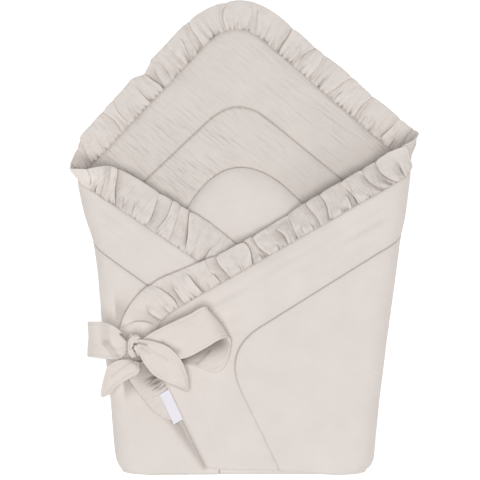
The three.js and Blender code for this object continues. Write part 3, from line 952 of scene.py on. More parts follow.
@dataclass
class GatheredFrill:
    """The muslin frill: a strip drawn up along the sewn edge, with its pleats pressed flat.

    Attributes:
        thick: Thickness of the cloth.
        columns: Points along the seam.
        rows: Points across the frill.
        begin: Distance along the sewn edge at which it begins.
        length: Distance at which it ends.
        press: Height of a full pleat's lip.
        lap: How far a full pleat slides over its neighbour.
        end_fade: Length over which the pleats fade out at its end.
        tuck: How far out from the sewn edge its seam lies, less than 0 for inside it.
        seam_lift: How far the seam stands up from the middle of the padding.
        long_share: Share of the width past which a pleat counts as a long one.
        stray: How far the long pleats wander along the seam.
        notch_depth: How far a full pleat draws in the outer edge.
        hollows: Place along and out, reach along and out, painted shade (below 0 a painted highlight) and
            depth of each hollow.
        widths: Width by distance along the sewn edge.
        fans: How far the frill stands up out of the padding's plane, by distance.
        turns: Which way up its face is, from 1 on the wings to -1 on the head, by distance.
        droops: How far the outer edge hangs down, by distance.
    """

    thick: float = 1.5
    columns: int = 2300
    rows: int = 17
    begin: float = 150.0
    length: float = 1757.0
    press: float = 7.0
    lap: float = 1.9
    end_fade: float = 70.0
    tuck: float = -0.5
    seam_lift: float = 1.3
    long_share: float = 0.45
    stray: float = 1.2
    notch_depth: float = 2.6
    hollows: tuple[tuple[float, float, float, float, float, float], ...] = (
        (606, 5, 3.5, 4, 1.0, 1.5), (588, 12, 20, 22, -0.45, 0), (570, 18, 5, 6, -0.2, -1.5),
        (1678, 14, 17, 22, 0.7, 0), (1690, 12, 2.5, 9, 0.8, 2.0), (1699, 10, 2.5, 8, 0.8, 1.5),
        (1708, 8, 2.5, 7, 0.6, 1.2),
    )
    widths: tuple[tuple[float, float], ...] = (
        (150, 20), (200, 34), (260, 40), (395, 46), (430, 45), (455, 48), (480, 45), (505, 43),
        (525, 40), (550, 36), (570, 31), (584, 26), (597, 18), (609, 19), (621, 27), (634, 34),
        (650, 34), (700, 36), (750, 37), (765, 30), (782, 36), (895, 35), (1110, 36), (1165, 39),
        (1230, 35), (1310, 35), (1400, 33), (1440, 31), (1496, 31), (1522, 34), (1548, 38), (1574, 41),
        (1626, 44), (1652, 41), (1678, 38), (1704, 34), (1730, 28), (1745, 21), (1753, 12), (1757, 3),
    )
    fans: tuple[tuple[float, float], ...] = (
        (540, 0), (582, 0.85), (615, 0.4), (645, 0), (1110, 0), (1165, 0.25), (1230, 0),
    )
    turns: tuple[tuple[float, float], ...] = ((572, 1), (618, -1), (1156, -1), (1196, 1))
    droops: tuple[tuple[float, float], ...] = (
        (150, 4), (280, 11), (430, 11), (520, 7), (585, 1), (632, -1.5), (1118, -1.5), (1185, 2), (1225, 10),
        (1270, 15), (1400, 15), (1470, 7), (1520, 2.5), (1640, 2.5), (1757, 2.5),
    )

    def _long(self) -> Array:
        """Seam, middle and outer distance of each pleat that crosses most of the width, with both ends."""
        lines = [(p.seam, p.middle, p.outer) for p in PLEATS if p.end - p.start > self.long_share]
        return np.array([(self.begin,) * 3, *lines, (self.length,) * 3], float)

    def _columns(self) -> Array:
        """Distances along the seam of the frill's columns, close together at the deep pleats.

        Returns:
            One distance for each column.
        """
        fine = np.arange(self.begin, self.length + 0.1, 0.2)
        crowd = sum(p.depth * np.exp(-(((fine - p.seam) / 2.2) ** 2)) for p in PLEATS)
        total = np.cumsum(0.6 + 1.5 * crowd)
        return np.interp(np.linspace(total[0], total[-1], self.columns), total, fine)

    def _drawn(self, seam: Array, share: Array) -> Array:
        """Distance along the edge of every place, with the long pleats on their lines.

        Args:
            seam: Distance of each column along the seam.
            share: Share of the width of each row.

        Returns:
            One distance for each row and column.
        """
        knots = self._long()
        count = np.arange(len(knots))
        rows = []
        for out in share:
            blend = np.array([2 * (out - 0.5) * (out - 1), 4 * out * (1 - out), 2 * out * (out - 0.5)])
            wander = np.sin(5.5 * out + 2.4 * count) - np.sin(2.4 * count)
            stray = self.stray * wander * (count % (len(knots) - 1) > 0)
            rows.append(np.interp(seam, knots[:, 0], np.maximum.accumulate(knots @ blend + stray)))
        return np.array(rows)

    def _pressed(self, seam: Array, share: Array) -> tuple[Array, Array, Array]:
        """What the pleats do at each place.

        Args:
            seam: Distance of each column along the seam.
            share: Share of the width of each row.

        Returns:
            Height, slide along the edge and depth of painted shade, below 0 a painted highlight on the lips.
        """
        height, slide, shade = (np.zeros((len(share), len(seam))) for _ in range(3))
        for pleat in PLEATS:
            near = np.abs(seam - pleat.seam) < 45.0
            past = (seam[near] - pleat.seam) * pleat.side
            over = 1.0 / (1.0 + np.exp(-past / 0.22))
            high, low = np.maximum(past, 0), np.minimum(past, 0)
            tail = 0.35 if pleat.end > 0.94 else 0.0
            strength = pleat.depth * (1 - smooth_step(pleat.end - 0.1 + tail, pleat.end + 0.12 + tail, share))
            if pleat.start > 0:
                strength = strength * smooth_step(pleat.start - 0.15, pleat.start + 0.1, share)
            strength = strength[:, None]
            lip = over * np.exp(-high / (3.0 + 5.0 * pleat.depth))
            tucked = (1 - over) * np.exp(low / (2.0 + 6.0 * pleat.depth))
            height[:, near] += strength * (lip - 0.85 * tucked)
            pull = (1 - over) * np.exp(low / 4.0) - over * np.exp(-high / 4.0)
            slide[:, near] += strength * pleat.side * pull
            # Painted highlight on each lip; painted shade on the tucked side, fading outwards.
            shade[:, near] -= 0.16 * strength * over * np.exp(-high / 4.0)
            fading = strength * (1 - 0.62 * share)[:, None]
            shade[:, near] += fading * (1 - over) * (1.0 * np.exp(low / 1.0) + 0.95 * np.exp(low / 4.5))
        return self.press * height, self.lap * slide, shade

    def sheet(self, edge: SewnEdge) -> Sheet:
        """Gathers the frill along the sewn edge.

        Args:
            edge: The sewn edge of the square.

        Returns:
            The frill's cloth.
        """
        seam_at = self._columns()
        share = np.linspace(0, 1, self.rows) ** 1.15
        ends = smooth_step(self.begin, self.begin + 25.0, seam_at)
        ends = ends * smooth_step(0, self.end_fade, self.length - seam_at)
        width = np.interp(seam_at, *np.array(self.widths).T)
        fan = np.interp(seam_at, *np.array(self.fans).T)
        knots = self._long()[:, 0]
        panel = np.clip(np.searchsorted(knots, seam_at, side="right") - 1, 0, len(knots) - 2)
        gap = np.diff(knots)[panel]
        arch = np.clip(0.10 * gap, 0.4, 2.6) * np.sin(math.pi * (seam_at - knots[panel]) / gap) ** 0.8
        notch = sum(
            p.depth * self.notch_depth * np.exp(-np.abs(seam_at - p.seam) / 3.0)
            for p in PLEATS if p.end > 0.8
        )
        along = np.stack([seam_at, 0 * seam_at, 0 * seam_at], axis=1)
        width = width * (1 + 0.03 * soft_relief(along, 60.0, 12) * ends) + (1.4 - notch) * ends
        out_by = share[:, None] * width
        plan = np.stack([seam_at + 0 * out_by, out_by, 0 * out_by], axis=-1)
        height, slide, shade = self._pressed(seam_at, share)
        grow = 1 - np.exp(-out_by / 3.0)
        gathers_full = soft_relief(plan * np.array([1.0, 0.22, 1.0]), 5.2, 30)
        gathers = gathers_full * np.exp(-out_by / 9.0)
        crumple = 0.75 * soft_relief(plan, 17.0, 41) + 0.45 * soft_relief(plan, 8.0, 43)
        facing_up = np.interp(seam_at, *np.array(self.turns).T)
        on_head = (smooth_step(618.0, 650.0, seam_at) * (1 - smooth_step(1110.0, 1140.0, seam_at)))[None, :]
        fine = soft_relief(plan * np.array([1.0, 0.07, 1.0]), 3.6, 57) * (0.5 + 0.5 * on_head)
        patches = np.abs(soft_relief(plan * np.array([1.0, 0.3, 1.0]), 40.0, 61))
        fine = fine * np.exp(-out_by / 30.0) * smooth_step(0.0, 1.5, patches)
        places = self._drawn(seam_at, share) + slide * ends * grow * np.abs(facing_up)
        middle, out, normal = (values.reshape(places.shape + (3,)) for values in edge.read(places.ravel()))
        out = unit(out + normal * fan[None, :, None])
        droop = np.interp(seam_at, *np.array(self.droops).T) * share[:, None] ** 1.3
        folds = height * (1 - 0.35 * on_head) + arch + crumple + 0.3 * fine
        rise = facing_up * (folds * grow * ends + 1.15 * gathers * ends - droop + self.seam_lift)
        reach = self.tuck + 1.5 * share[:, None] + out_by
        points = middle + out * reach[..., None] + normal * rise[..., None]
        points[..., 2] = np.maximum(points[..., 2], self.thick / 2 + 0.1)
        # Painted shade in each hollow, and a painted highlight where its shade is below 0.
        for at, off, reach_along, reach_out, dark, sunk in self.hollows:
            close = np.exp(-(((places - at) / reach_along) ** 2) - ((out_by - off) / reach_out) ** 2)
            shade = shade + dark * close
            points = points - normal * (facing_up * sunk * close)[..., None]
        surface = grid_normals(points)
        facing = float(np.sign(np.sum(surface * normal)))
        ids = np.arange(points.shape[0] * points.shape[1]).reshape(points.shape[:2])
        seam = np.stack([places, out_by], axis=-1)
        # Painted shade in the pleats, in the valleys of the fine gathers and along the seam.
        deep = 0.75 * shade * grow * (1 - 0.4 * on_head) + 0.3 * np.maximum(-fine, 0)
        deep = deep + np.exp(-out_by / 0.9) * (0.3 + 0.8 * np.maximum(-gathers_full, 0))
        deep = deep + 0.7 * np.exp(-out_by / 4.5) * np.maximum(-gathers, 0)
        return Sheet(
            middle=points.reshape(-1, 3),
            normal=(surface * facing).reshape(-1, 3),
            thick=np.full(ids.size, self.thick),
            flat=seam.reshape(-1, 2),
            seam=seam.reshape(-1, 2),
            shade=deep.ravel(),
            faces=grid_faces(ids),
        )


@dataclass(frozen=True)
class Crease:
    """A line pressed into a ribbon.

    Attributes:
        start: Where it starts, seen from above.
        end: Where it ends.
        width: How wide it is.
        shade: Painted shade along it, for the crease or for the shadow of the cloth above it.
        sunk: How far it lies below the cloth round it.
        part: Shares of the ribbon's length between which it lies.
    """

    start: tuple[float, float]
    end: tuple[float, float]
    width: float
    shade: float
    sunk: float = 0.0
    part: tuple[float, float] = (0.0, 1.0)

    def near(self, points: Array, share: Array) -> Array:
        """How close places on the ribbon are to the line, 1 on it.

        Args:
            points: Places on the ribbon.
            share: Each row's share of the ribbon's length.

        Returns:
            Closeness of each place, 0 to 1.
        """
        start, way = np.array(self.start), np.array(self.end) - np.array(self.start)
        offset = points[..., :2] - start
        along = np.clip(offset @ way / (way @ way), 0, 1)
        distance = np.linalg.norm(offset - along[..., None] * way, axis=-1)
        within = (share >= self.part[0]) & (share <= self.part[1])
        return np.exp(-((distance / self.width) ** 2)) * within[:, None]


@dataclass
class Ribbon:
    """A flat length of muslin ribbon that follows given cross lines.

    Attributes:
        name: Name of the piece.
        node: Part of the model that it is.
        sections: Both ends of each cross line and its height: x, y, x, y, z.
        crown: Height of the arch across the ribbon.
        folds: Size of the folds that run from the knot.
        seed: Picks the folds.
        thick: Thickness of the doubled cloth.
        steps: Steps along it and across it.
        creases: Lines pressed into it.
        cut: Width and length it was cut to, in metres; not used.
        area: Area of the cut where it isn't square-ended, in square metres; not used.
        held: How the cloth lies; not used.
    """

    name: str
    node: str
    sections: tuple[tuple[float, float, float, float, float], ...]
    crown: float = 1.5
    folds: float = 1.6
    seed: int = 1
    thick: float = 1.8
    steps: tuple[int, int] = (150, 44)
    creases: tuple[Crease, ...] = ()
    cut: tuple[float, float] = (0.047, 0.1)
    area: float | None = None
    held: str = "folded"

    def sheet(self) -> Sheet:
        """Lays the ribbon through its cross lines.

        Returns:
            The ribbon's cloth.
        """
        rows = np.array(self.sections, float)
        near = spline(rows[:, [0, 1, 4]], self.steps[0])
        far = spline(rows[:, [2, 3, 4]], self.steps[0])
        across = np.linspace(0, 1, self.steps[1] + 1)
        grid = mix(near[:, None, :], far[:, None, :], across[None, :, None])
        run = np.concatenate([[0.0], np.cumsum(np.linalg.norm(np.diff((near + far) / 2, axis=0), axis=1))])
        wide = np.linalg.norm(far - near, axis=1)
        out = grid_normals(grid)
        from_knot = np.minimum(run, run[-1] - run) if self.name.startswith("bow_loop") else run
        arch = self.crown * np.sin(math.pi * across)[None, :] * smooth_step(0, 20, from_knot)[:, None]
        line = np.stack([
            np.tile(across[None, :] * 34.0, (len(run), 1)),
            np.tile(run[:, None] * 0.12, (1, len(across))),
            np.zeros((len(run), len(across))),
        ], axis=-1)
        fold = self.folds * soft_relief(line, 11.0, self.seed) * np.exp(-from_knot / 38.0)[:, None]
        fold *= (np.sin(math.pi * across) ** 0.5)[None, :]
        soft = 0.5 * soft_relief(grid, 26.0, self.seed + 40) * smooth_step(0, 12, from_knot)[:, None]
        shade = np.zeros(grid.shape[:2])
        sunk = np.zeros(grid.shape[:2])
        for crease in self.creases:
            close = crease.near(grid, np.linspace(0, 1, len(run)))
            shade += crease.shade * close
            sunk += crease.sunk * close
        hem = np.minimum(across, 1 - across)[None, :] * wide[:, None]
        # Painted shade along the hem line.
        shade += 0.1 * np.exp(-(((hem - 3.2) / 0.6) ** 2))
        sunk += 0.35 * np.exp(-(((hem - 3.2) / 0.9) ** 2))
        grid = grid + out * (arch + fold + soft - sunk)[..., None]
        normal = grid_normals(grid)
        ids = np.arange(grid.shape[0] * grid.shape[1]).reshape(grid.shape[:2])
        flat = np.stack([np.tile(run[:, None], (1, len(across))), across[None, :] * wide[:, None]], axis=-1)
        return Sheet(
            middle=grid.reshape(-1, 3), normal=normal.reshape(-1, 3), thick=np.full(ids.size, self.thick),
            flat=flat.reshape(-1, 2), seam=flat.reshape(-1, 2), shade=shade.ravel(), faces=grid_faces(ids),
        )


# Creases with no depth are painted shade only: where the left loop meets the knot, the painted shadow inside
# the right loop, and the painted shadow of the right tail on the loop.
RIBBONS = (
    Ribbon("bow_loop_left_cloth", "bow_loop_left", (
        (-158.7, -134, -158.7, -151, 77), (-169, -121, -167, -158, 81), (-187, -112, -184, -159, 82),
        (-203, -111, -203, -157, 79), (-210, -111, -210, -156, 71), (-203, -113, -203, -156, 63),
        (-181, -120, -179, -154, 61), (-158.7, -136, -158.7, -150, 65),
    ), seed=2, cut=(0.047, 0.118), area=0.0046, creases=(
        Crease((-188, -108), (-185, -139), 5.0, 0.14, 2.6, (0, 0.48)),
        Crease((-185, -139), (-169, -161), 3.6, 0.2, 2.6, (0, 0.48)),
        Crease((-166, -127), (-157, -136), 1.3, 0.9, 1.8, (0, 0.48)),
        Crease((-158, -134), (-158, -152), 2.5, 0.35, 0.0, (0, 0.48)),
    )),
    Ribbon("bow_loop_right_cloth", "bow_loop_right", (
        (-136.3, -134, -136.3, -150, 77), (-125, -126, -114, -157, 80), (-110, -118, -85, -159, 81),
        (-74, -101, -52, -144, 82), (-53, -91, -33, -133, 80), (-47, -96, -23, -131, 72),
        (-47, -111, -35, -177, 62), (-74, -125, -67, -169, 60), (-107, -128, -103, -161, 61),
        (-136.3, -136, -136.3, -151, 65),
    ), seed=3, cut=(0.055, 0.235), area=0.0105, creases=(
        Crease((-132, -137), (-100, -152), 2.0, 0.3, 1.5, (0, 0.45)),
        Crease((-136, -141), (-118, -145), 3.0, 0.4, 1.0, (0, 0.45)),
        Crease((-86, -160), (-34, -138), 12.0, 0.9, 0.0, (0.5, 1)),
        Crease((-64, -168), (-47, -150), 1.2, 0.35, 0.8, (0.5, 1)),
        Crease((-110, -139), (-90, -150), 4.5, 0.5, 0.0, (0, 0.45)),
    )),
    Ribbon("tie_tail_right_cloth", "tie_tail_right", (
        (-141, -134, -144, -144, 85.5), (-124, -136, -133, -166, 89), (-101, -145, -120, -181, 88),
        (-87, -160, -106, -189, 83), (-78, -181, -89, -196, 74), (-75, -200, -77, -203, 64),
    ), seed=4, cut=(0.040, 0.092), area=0.0028, held="laid", creases=(
        Crease((-143, -138), (-131, -140.5), 1.7, 0.6, 1.8, (0, 0.4)),
        Crease((-139, -144), (-127, -152), 1.8, 0.18, 0.8, (0, 0.4)),
        Crease((-130, -145), (-104, -160), 2.4, 0.12, 0.8, (0, 0.8)),
    )),
    Ribbon("tie_tail_left_cloth", "tie_tail_left", (
        (-154, -161, -142, -165, 73), (-170, -163, -142, -177, 73), (-182, -170, -156, -186, 71),
        (-187, -183, -173, -197, 66), (-191, -197, -180, -206, 60), (-193, -210, -191, -212, 55),
    ), seed=5, cut=(0.029, 0.072), area=0.0016, held="laid", creases=(
        Crease((-152, -160), (-140, -170), 4.0, 0.5, 0.8, (0, 0.4)),
        Crease((-154, -165), (-178, -183), 2.4, 0.12, 0.9, (0, 0.8)),
    )),
)


@dataclass
class Knot:
    """The bow's knot, a rounded block with the grooves of the wrapped ribbon.

    Attributes:
        centre: Its middle.
        half_size: Half of its width, length and height.
        round: How square it is: 2 for a ball, more for a block.
        sides: Points round it.
        rings: Steps up it.
        creases: Its grooves, from its middle.
    """

    centre: tuple[float, float, float] = (-147.5, -142, 73)
    half_size: tuple[float, float, float] = (10.5, 16, 12.5)
    round: float = 2.6
    sides: int = 132
    rings: int = 90
    creases: tuple[Crease, ...] = (
        Crease((9, 2.5), (0.5, 2.5), 1.3, 1.0, 2.6), Crease((0.5, 2.5), (-2.5, -4), 1.1, 0.8, 2.2),
        Crease((-2.5, -4), (0.5, -9), 1.1, 0.7, 2.0), Crease((0.5, -9), (4, -15), 1.4, 0.7, 2.0),
        Crease((-10, 9), (-4, 13), 1.2, 0.4, 1.0),
    )

    def build(self, material: bpy.types.Material) -> bpy.types.Object:
        """Makes the knot.

        Args:
            material: Its finish.

        Returns:
            The knot.
        """
        turn = np.linspace(0, 2 * math.pi, self.sides, endpoint=False)
        rise = np.linspace(-math.pi / 2, math.pi / 2, self.rings + 1)[1:-1]
        power = 2.0 / self.round

        def curve(values: Array) -> Array:
            """The values drawn towards a rounded block."""
            return np.sign(values) * np.abs(values) ** power

        level, around = np.meshgrid(rise, turn, indexing="ij")
        shape = np.stack([
            curve(np.cos(level)) * curve(np.cos(around)),
            curve(np.cos(level)) * curve(np.sin(around)),
            curve(np.sin(level)),
        ], axis=-1).reshape(-1, 3)
        shape = np.vstack([shape, [[0, 0, -1.0], [0, 0, 1.0]]])
        place = shape * np.array(self.half_size)
        above = smooth_step(-2.0, 3.0, place[:, 2])
        nearness = [crease.near(place[:, None, :], np.zeros(len(place)))[:, 0] for crease in self.creases]
        hollow = sum(crease.sunk * close for crease, close in zip(self.creases, nearness))
        # Painted shade in the grooves.
        shade = sum(crease.shade * close for crease, close in zip(self.creases, nearness))
        ring = np.hypot(place[:, 0] - 5.0, 0.8 * (place[:, 1] + 2.0))
        pleats = 0.35 * np.cos(ring * 2.1) * smooth_step(3.0, 6.0, ring)
        grooves = (hollow + pleats) * above
        swell = 0.5 * soft_relief(place, 12.0, 9)
        place = place * (1 - (grooves - swell) / 11.0)[:, None]
        rows = self.rings - 1
        ids = np.arange(rows * self.sides).reshape(rows, self.sides)
        faces = []
        for row in range(rows - 1):
            for side in range(self.sides):
                after = (side + 1) % self.sides
                faces.append((ids[row, side], ids[row, after], ids[row + 1, after], ids[row + 1, side]))
        low, high = rows * self.sides, rows * self.sides + 1
        for side in range(self.sides):
            after = (side + 1) % self.sides
            faces += [(ids[0, after], ids[0, side], low), (ids[-1, side], ids[-1, after], high)]
        mesh = bpy.data.meshes.new("bow_knot_cloth")
        vertices = (place + np.array(self.centre) + FRAME_SHIFT) * MM
        mesh.from_pydata(vertices.tolist(), [], [tuple(int(k) for k in face) for face in faces])
        mesh.polygons.foreach_set("use_smooth", [True] * len(faces))
        corners = np.empty(len(mesh.loops), dtype=np.int64)
        mesh.loops.foreach_get("vertex_index", corners)
        unrolled = np.stack([place[:, 1] * 1.2, np.arctan2(place[:, 0], place[:, 2]) * 11.0], axis=1)
        layer = mesh.uv_layers.new(name="cloth")
        layer.data.foreach_set("uv", (unrolled[corners] * MM).astype(np.float32).ravel())
        deep = mesh.attributes.new("crease_shade", "FLOAT", "POINT")
        deep.data.foreach_set("value", np.clip(shade * above, 0, 1).astype(np.float32))
        mesh.materials.append(material)
        knot = bpy.data.objects.new("bow_knot_cloth", mesh)
        bpy.context.collection.objects.link(knot)
        return knot


@dataclass
class SewnLabel:
    """The bare label: a short tape folded over and caught in the wing's edge seam.

    Attributes:
        corners: Its four corners, two of them on its outer edge.
        level: Height of its middle.
        tape: Thickness of the tape.
        gap: Room between its two layers.
    """

    corners: tuple[tuple[float, float], ...] = ((-114, -208), (-102, -201), (-83, -241), (-95, -248))
    level: float = 55.6
    tape: float = 0.5
    gap: float = 0.1

    def sheet(self) -> Sheet:
        """Lays the tape from its raw end up, over the fold and back on top of itself.

        Returns:
            The label's cloth.
        """
        start, inner, inner_end, outer_end = (np.array([*corner, 0.0]) for corner in self.corners)
        half_turn = (self.tape + self.gap) / 2.0
        inward = np.linspace(0, 1, 15)
        angle = np.linspace(0, math.pi, 9)[1:-1]
        shares = np.concatenate([1 - inward, 0 * angle, inward])
        outs = np.concatenate([0 * inward, np.sin(angle), 0 * inward]) * half_turn
        heights = np.concatenate([0 * inward - 1, -np.cos(angle), 0 * inward + 1]) * half_turn
        side = np.linspace(0, 1, 31)
        outer = mix(start, outer_end, side[:, None])
        inner_line = mix(inner, inner_end, side[:, None])
        way = unit(outer - inner_line)
        grid = mix(outer[None], inner_line[None], shares[:, None, None]) + way[None] * outs[:, None, None]
        bow = 0.7 * np.sin(math.pi * side)[None, :] * (1 - shares[:, None])
        grid[..., 2] = self.level + heights[:, None] + bow
        normal = grid_normals(grid)
        ids = np.arange(grid.shape[0] * grid.shape[1]).reshape(grid.shape[:2])
        flat = np.stack([
            np.tile(side * 45.0, (len(shares), 1)), np.tile((shares * 14.0)[:, None], (1, len(side))),
        ], axis=-1)
        return Sheet(
            middle=grid.reshape(-1, 3), normal=normal.reshape(-1, 3), thick=np.full(ids.size, self.tape),
            flat=flat.reshape(-1, 2), seam=flat.reshape(-1, 2), shade=np.zeros(ids.size),
            faces=grid_faces(ids),
        )


class NodeSheet:
    """A node tree that is filled node by node."""

    def __init__(self, tree: bpy.types.NodeTree) -> None:
        """Starts on an empty tree."""
        self.tree = tree
        tree.nodes.clear()

    def add(self, kind: str, settings: dict[str, object] | None = None, **inputs: object) -> bpy.types.Node:
        """Adds a node.

        Args:
            kind: Type of the node.
            settings: Its own settings.
            inputs: Values or sockets for its inputs, by name with spaces as underscores.

        Returns:
            The node.
        """
        node = self.tree.nodes.new(kind)
        for key, value in (settings or {}).items():
            setattr(node, key, value)
        for key, value in inputs.items():
            socket = node.inputs[int(key[1:])] if key[1:].isdigit() else node.inputs[key.replace("_", " ")]
            if isinstance(value, bpy.types.NodeSocket):
                self.tree.links.new(value, socket)
            else:
                socket.default_value = value
        return node


class Crinkle(Enum):
    """How the weave's surface creases."""

    SMOOTH = "smooth"
    CRINKLED = "crinkled"
    SATIN = "satin"


@dataclass(frozen=True)
class ClothFinish:
    """A woven finish.

    Attributes:
        name: Name of the material.
        colour: Base colour, linear.
        crinkle: How its surface creases.
        turn: Angle of the crinkle lines on the cloth, in degrees.
        depth: Height of the crinkle, in metres.
        roughness: Roughness of the surface.
        sheen: Sheen of the fibres.
        painted_shade_dark: How far the painted shade darkens the cloth deep in a seam or crease or under
            another part, and how far the painted highlight lightens it.
        painted_shade_colour: Colour that the painted shade darkens to, linear.
        worn_at: Middle of the place that is creased the most.
        worn_reach: How far round it that place reaches.
        worn_gain: How much stronger the creases are there.
    """

    name: str
    colour: tuple[float, float, float]
    crinkle: Crinkle
    turn: float = 0.0
    depth: float = 0.0006
    roughness: float = 0.9
    sheen: float = 0.15
    painted_shade_dark: float = 0.5
    painted_shade_colour: tuple[float, float, float] = (0.085, 0.055, 0.038)
    worn_at: tuple[float, float, float] = (0.0, 0.0, 0.0)
    worn_reach: float = 0.12
    worn_gain: float = 1.0

    def material(self) -> bpy.types.Material:
        """Makes the material.

        Returns:
            The finish as a material.
        """
        material = bpy.data.materials.new(self.name)
        material.use_nodes = True
        sheet = NodeSheet(material.node_tree)
        place = sheet.add("ShaderNodeUVMap", {"uv_map": "cloth"}).outputs["UV"]
        body = sheet.add("ShaderNodeTexCoord").outputs["Object"]
        turned = sheet.add(
            "ShaderNodeMapping", Vector=place, Rotation=(0, 0, math.radians(self.turn)),
        ).outputs[0]
        height = self._height(sheet, turned, body)
        tint = sheet.add(
            "ShaderNodeTexNoise", Vector=body, Scale=24.0, Detail=3.0, Roughness=0.6,
        ).outputs["Fac"]
        shade = sheet.add(
            "ShaderNodeMapRange", Value=tint, From_Min=0.3, From_Max=0.7, To_Min=0.975, To_Max=1.02,
        )
        # Painted shade and painted highlight from crease_shade: below 0 it lightens the colour, above 0 it
        # mixes the colour towards the painted shade colour.
        crease = sheet.add("ShaderNodeAttribute", {"attribute_name": "crease_shade"}).outputs["Fac"]
        ridge = sheet.add("ShaderNodeMath", {"operation": "MINIMUM"}, _0=crease, _1=0.0)
        painted_highlight = sheet.add("ShaderNodeMath", {"operation": "MULTIPLY_ADD"}, _0=ridge.outputs[0],
                           _1=-self.painted_shade_dark, _2=1.0)
        tone = sheet.add(
            "ShaderNodeMath", {"operation": "MULTIPLY"}, _0=shade.outputs[0], _1=painted_highlight.outputs[0],
        )
        plain = sheet.add(
            "ShaderNodeMix", {"data_type": "RGBA", "blend_type": "MULTIPLY"}, Factor=1.0,
            _6=(*self.colour, 1.0), _7=tone.outputs[0],
        )
        deep = sheet.add("ShaderNodeMath", {"operation": "MULTIPLY", "use_clamp": True}, _0=crease,
                         _1=self.painted_shade_dark)
        colour = sheet.add(
            "ShaderNodeMix", {"data_type": "RGBA", "blend_type": "MIX"}, Factor=deep.outputs[0],
            _6=plain.outputs[2], _7=(*self.painted_shade_colour, 1.0),
        )
        bump = sheet.add("ShaderNodeBump", Height=height, Distance=self.depth, Strength=1.0)
        surface = sheet.add(
            "ShaderNodeBsdfPrincipled", Base_Color=colour.outputs[2], Roughness=self.roughness,
            Normal=bump.outputs[0],
        )
        surface.inputs["Sheen Weight"].default_value = self.sheen
        surface.inputs["Sheen Roughness"].default_value = 0.5
        surface.inputs["Specular IOR Level"].default_value = 0.35 if self.crinkle is Crinkle.SATIN else 0.2
        sheet.add("ShaderNodeOutputMaterial", Surface=surface.outputs[0])
        return material

    def _height(self, sheet: NodeSheet, turned: object, body: object) -> object:
        """Height of the weave and its creases, about 0 to 1.

        Args:
            sheet: The material's nodes.
            turned: Place on the flat cloth, turned to its weave.
            body: Place in the wrap.

        Returns:
            The socket that gives the height.
        """
        weave = sheet.add("ShaderNodeTexNoise", Vector=turned, Scale=1400.0, Detail=2.0).outputs["Fac"]
        if self.crinkle is Crinkle.SATIN:
            ribs = sheet.add("ShaderNodeTexWave", Vector=turned, Scale=700.0, Distortion=0.4).outputs["Fac"]
            return sheet.add("ShaderNodeMath", {"operation": "MULTIPLY"}, _0=ribs, _1=0.4).outputs[0]
        stretched = sheet.add("ShaderNodeMapping", Vector=turned, Scale=(24.0, 215.0, 1.0)).outputs[0]
        crease = sheet.add("ShaderNodeTexNoise", Vector=stretched, Scale=1.0, Detail=2.0, Roughness=0.5,
                           Distortion=0.35).outputs["Fac"]
        patch = sheet.add("ShaderNodeTexNoise", Vector=turned, Scale=20.0, Detail=1.0).outputs["Fac"]
        spread = sheet.add("ShaderNodeMapRange", Value=patch, From_Min=0.35, From_Max=0.65, To_Min=0.55,
                           To_Max=1.1).outputs[0]
        away = sheet.add("ShaderNodeVectorMath", {"operation": "DISTANCE"}, _0=body, _1=self.worn_at)
        worn = sheet.add(
            "ShaderNodeMapRange", {"interpolation_type": "SMOOTHSTEP"}, Value=away.outputs["Value"],
            From_Min=0.2 * self.worn_reach, From_Max=self.worn_reach, To_Min=self.worn_gain, To_Max=1.0,
        ).outputs[0]
        gain = sheet.add("ShaderNodeMath", {"operation": "MULTIPLY"}, _0=spread, _1=worn).outputs[0]
        ridge = sheet.add("ShaderNodeMath", {"operation": "MULTIPLY"}, _0=crease, _1=gain).outputs[0]
        if self.crinkle is Crinkle.SMOOTH:
            soft = sheet.add(
                "ShaderNodeTexNoise", Vector=body, Scale=90.0, Detail=4.0, Roughness=0.55,
            ).outputs["Fac"]
            lined = sheet.add(
                "ShaderNodeMath", {"operation": "MULTIPLY_ADD"}, _0=ridge, _1=0.7, _2=soft,
            ).outputs[0]
            return sheet.add(
                "ShaderNodeMath", {"operation": "MULTIPLY_ADD"}, _0=weave, _1=0.25, _2=lined,
            ).outputs[0]
        crossed = sheet.add("ShaderNodeMapping", Vector=turned, Scale=(260.0, 90.0, 1.0)).outputs[0]
        cross = sheet.add("ShaderNodeTexNoise", Vector=crossed, Scale=1.0, Detail=2.0).outputs["Fac"]
        doubled = sheet.add("ShaderNodeMath", {"operation": "MULTIPLY"}, _0=ridge, _1=2.0).outputs[0]
        both = sheet.add(
            "ShaderNodeMath", {"operation": "MULTIPLY_ADD"}, _0=cross, _1=0.35, _2=doubled,
        ).outputs[0]
        return sheet.add(
            "ShaderNodeMath", {"operation": "MULTIPLY_ADD"}, _0=weave, _1=0.15, _2=both,
        ).outputs[0]


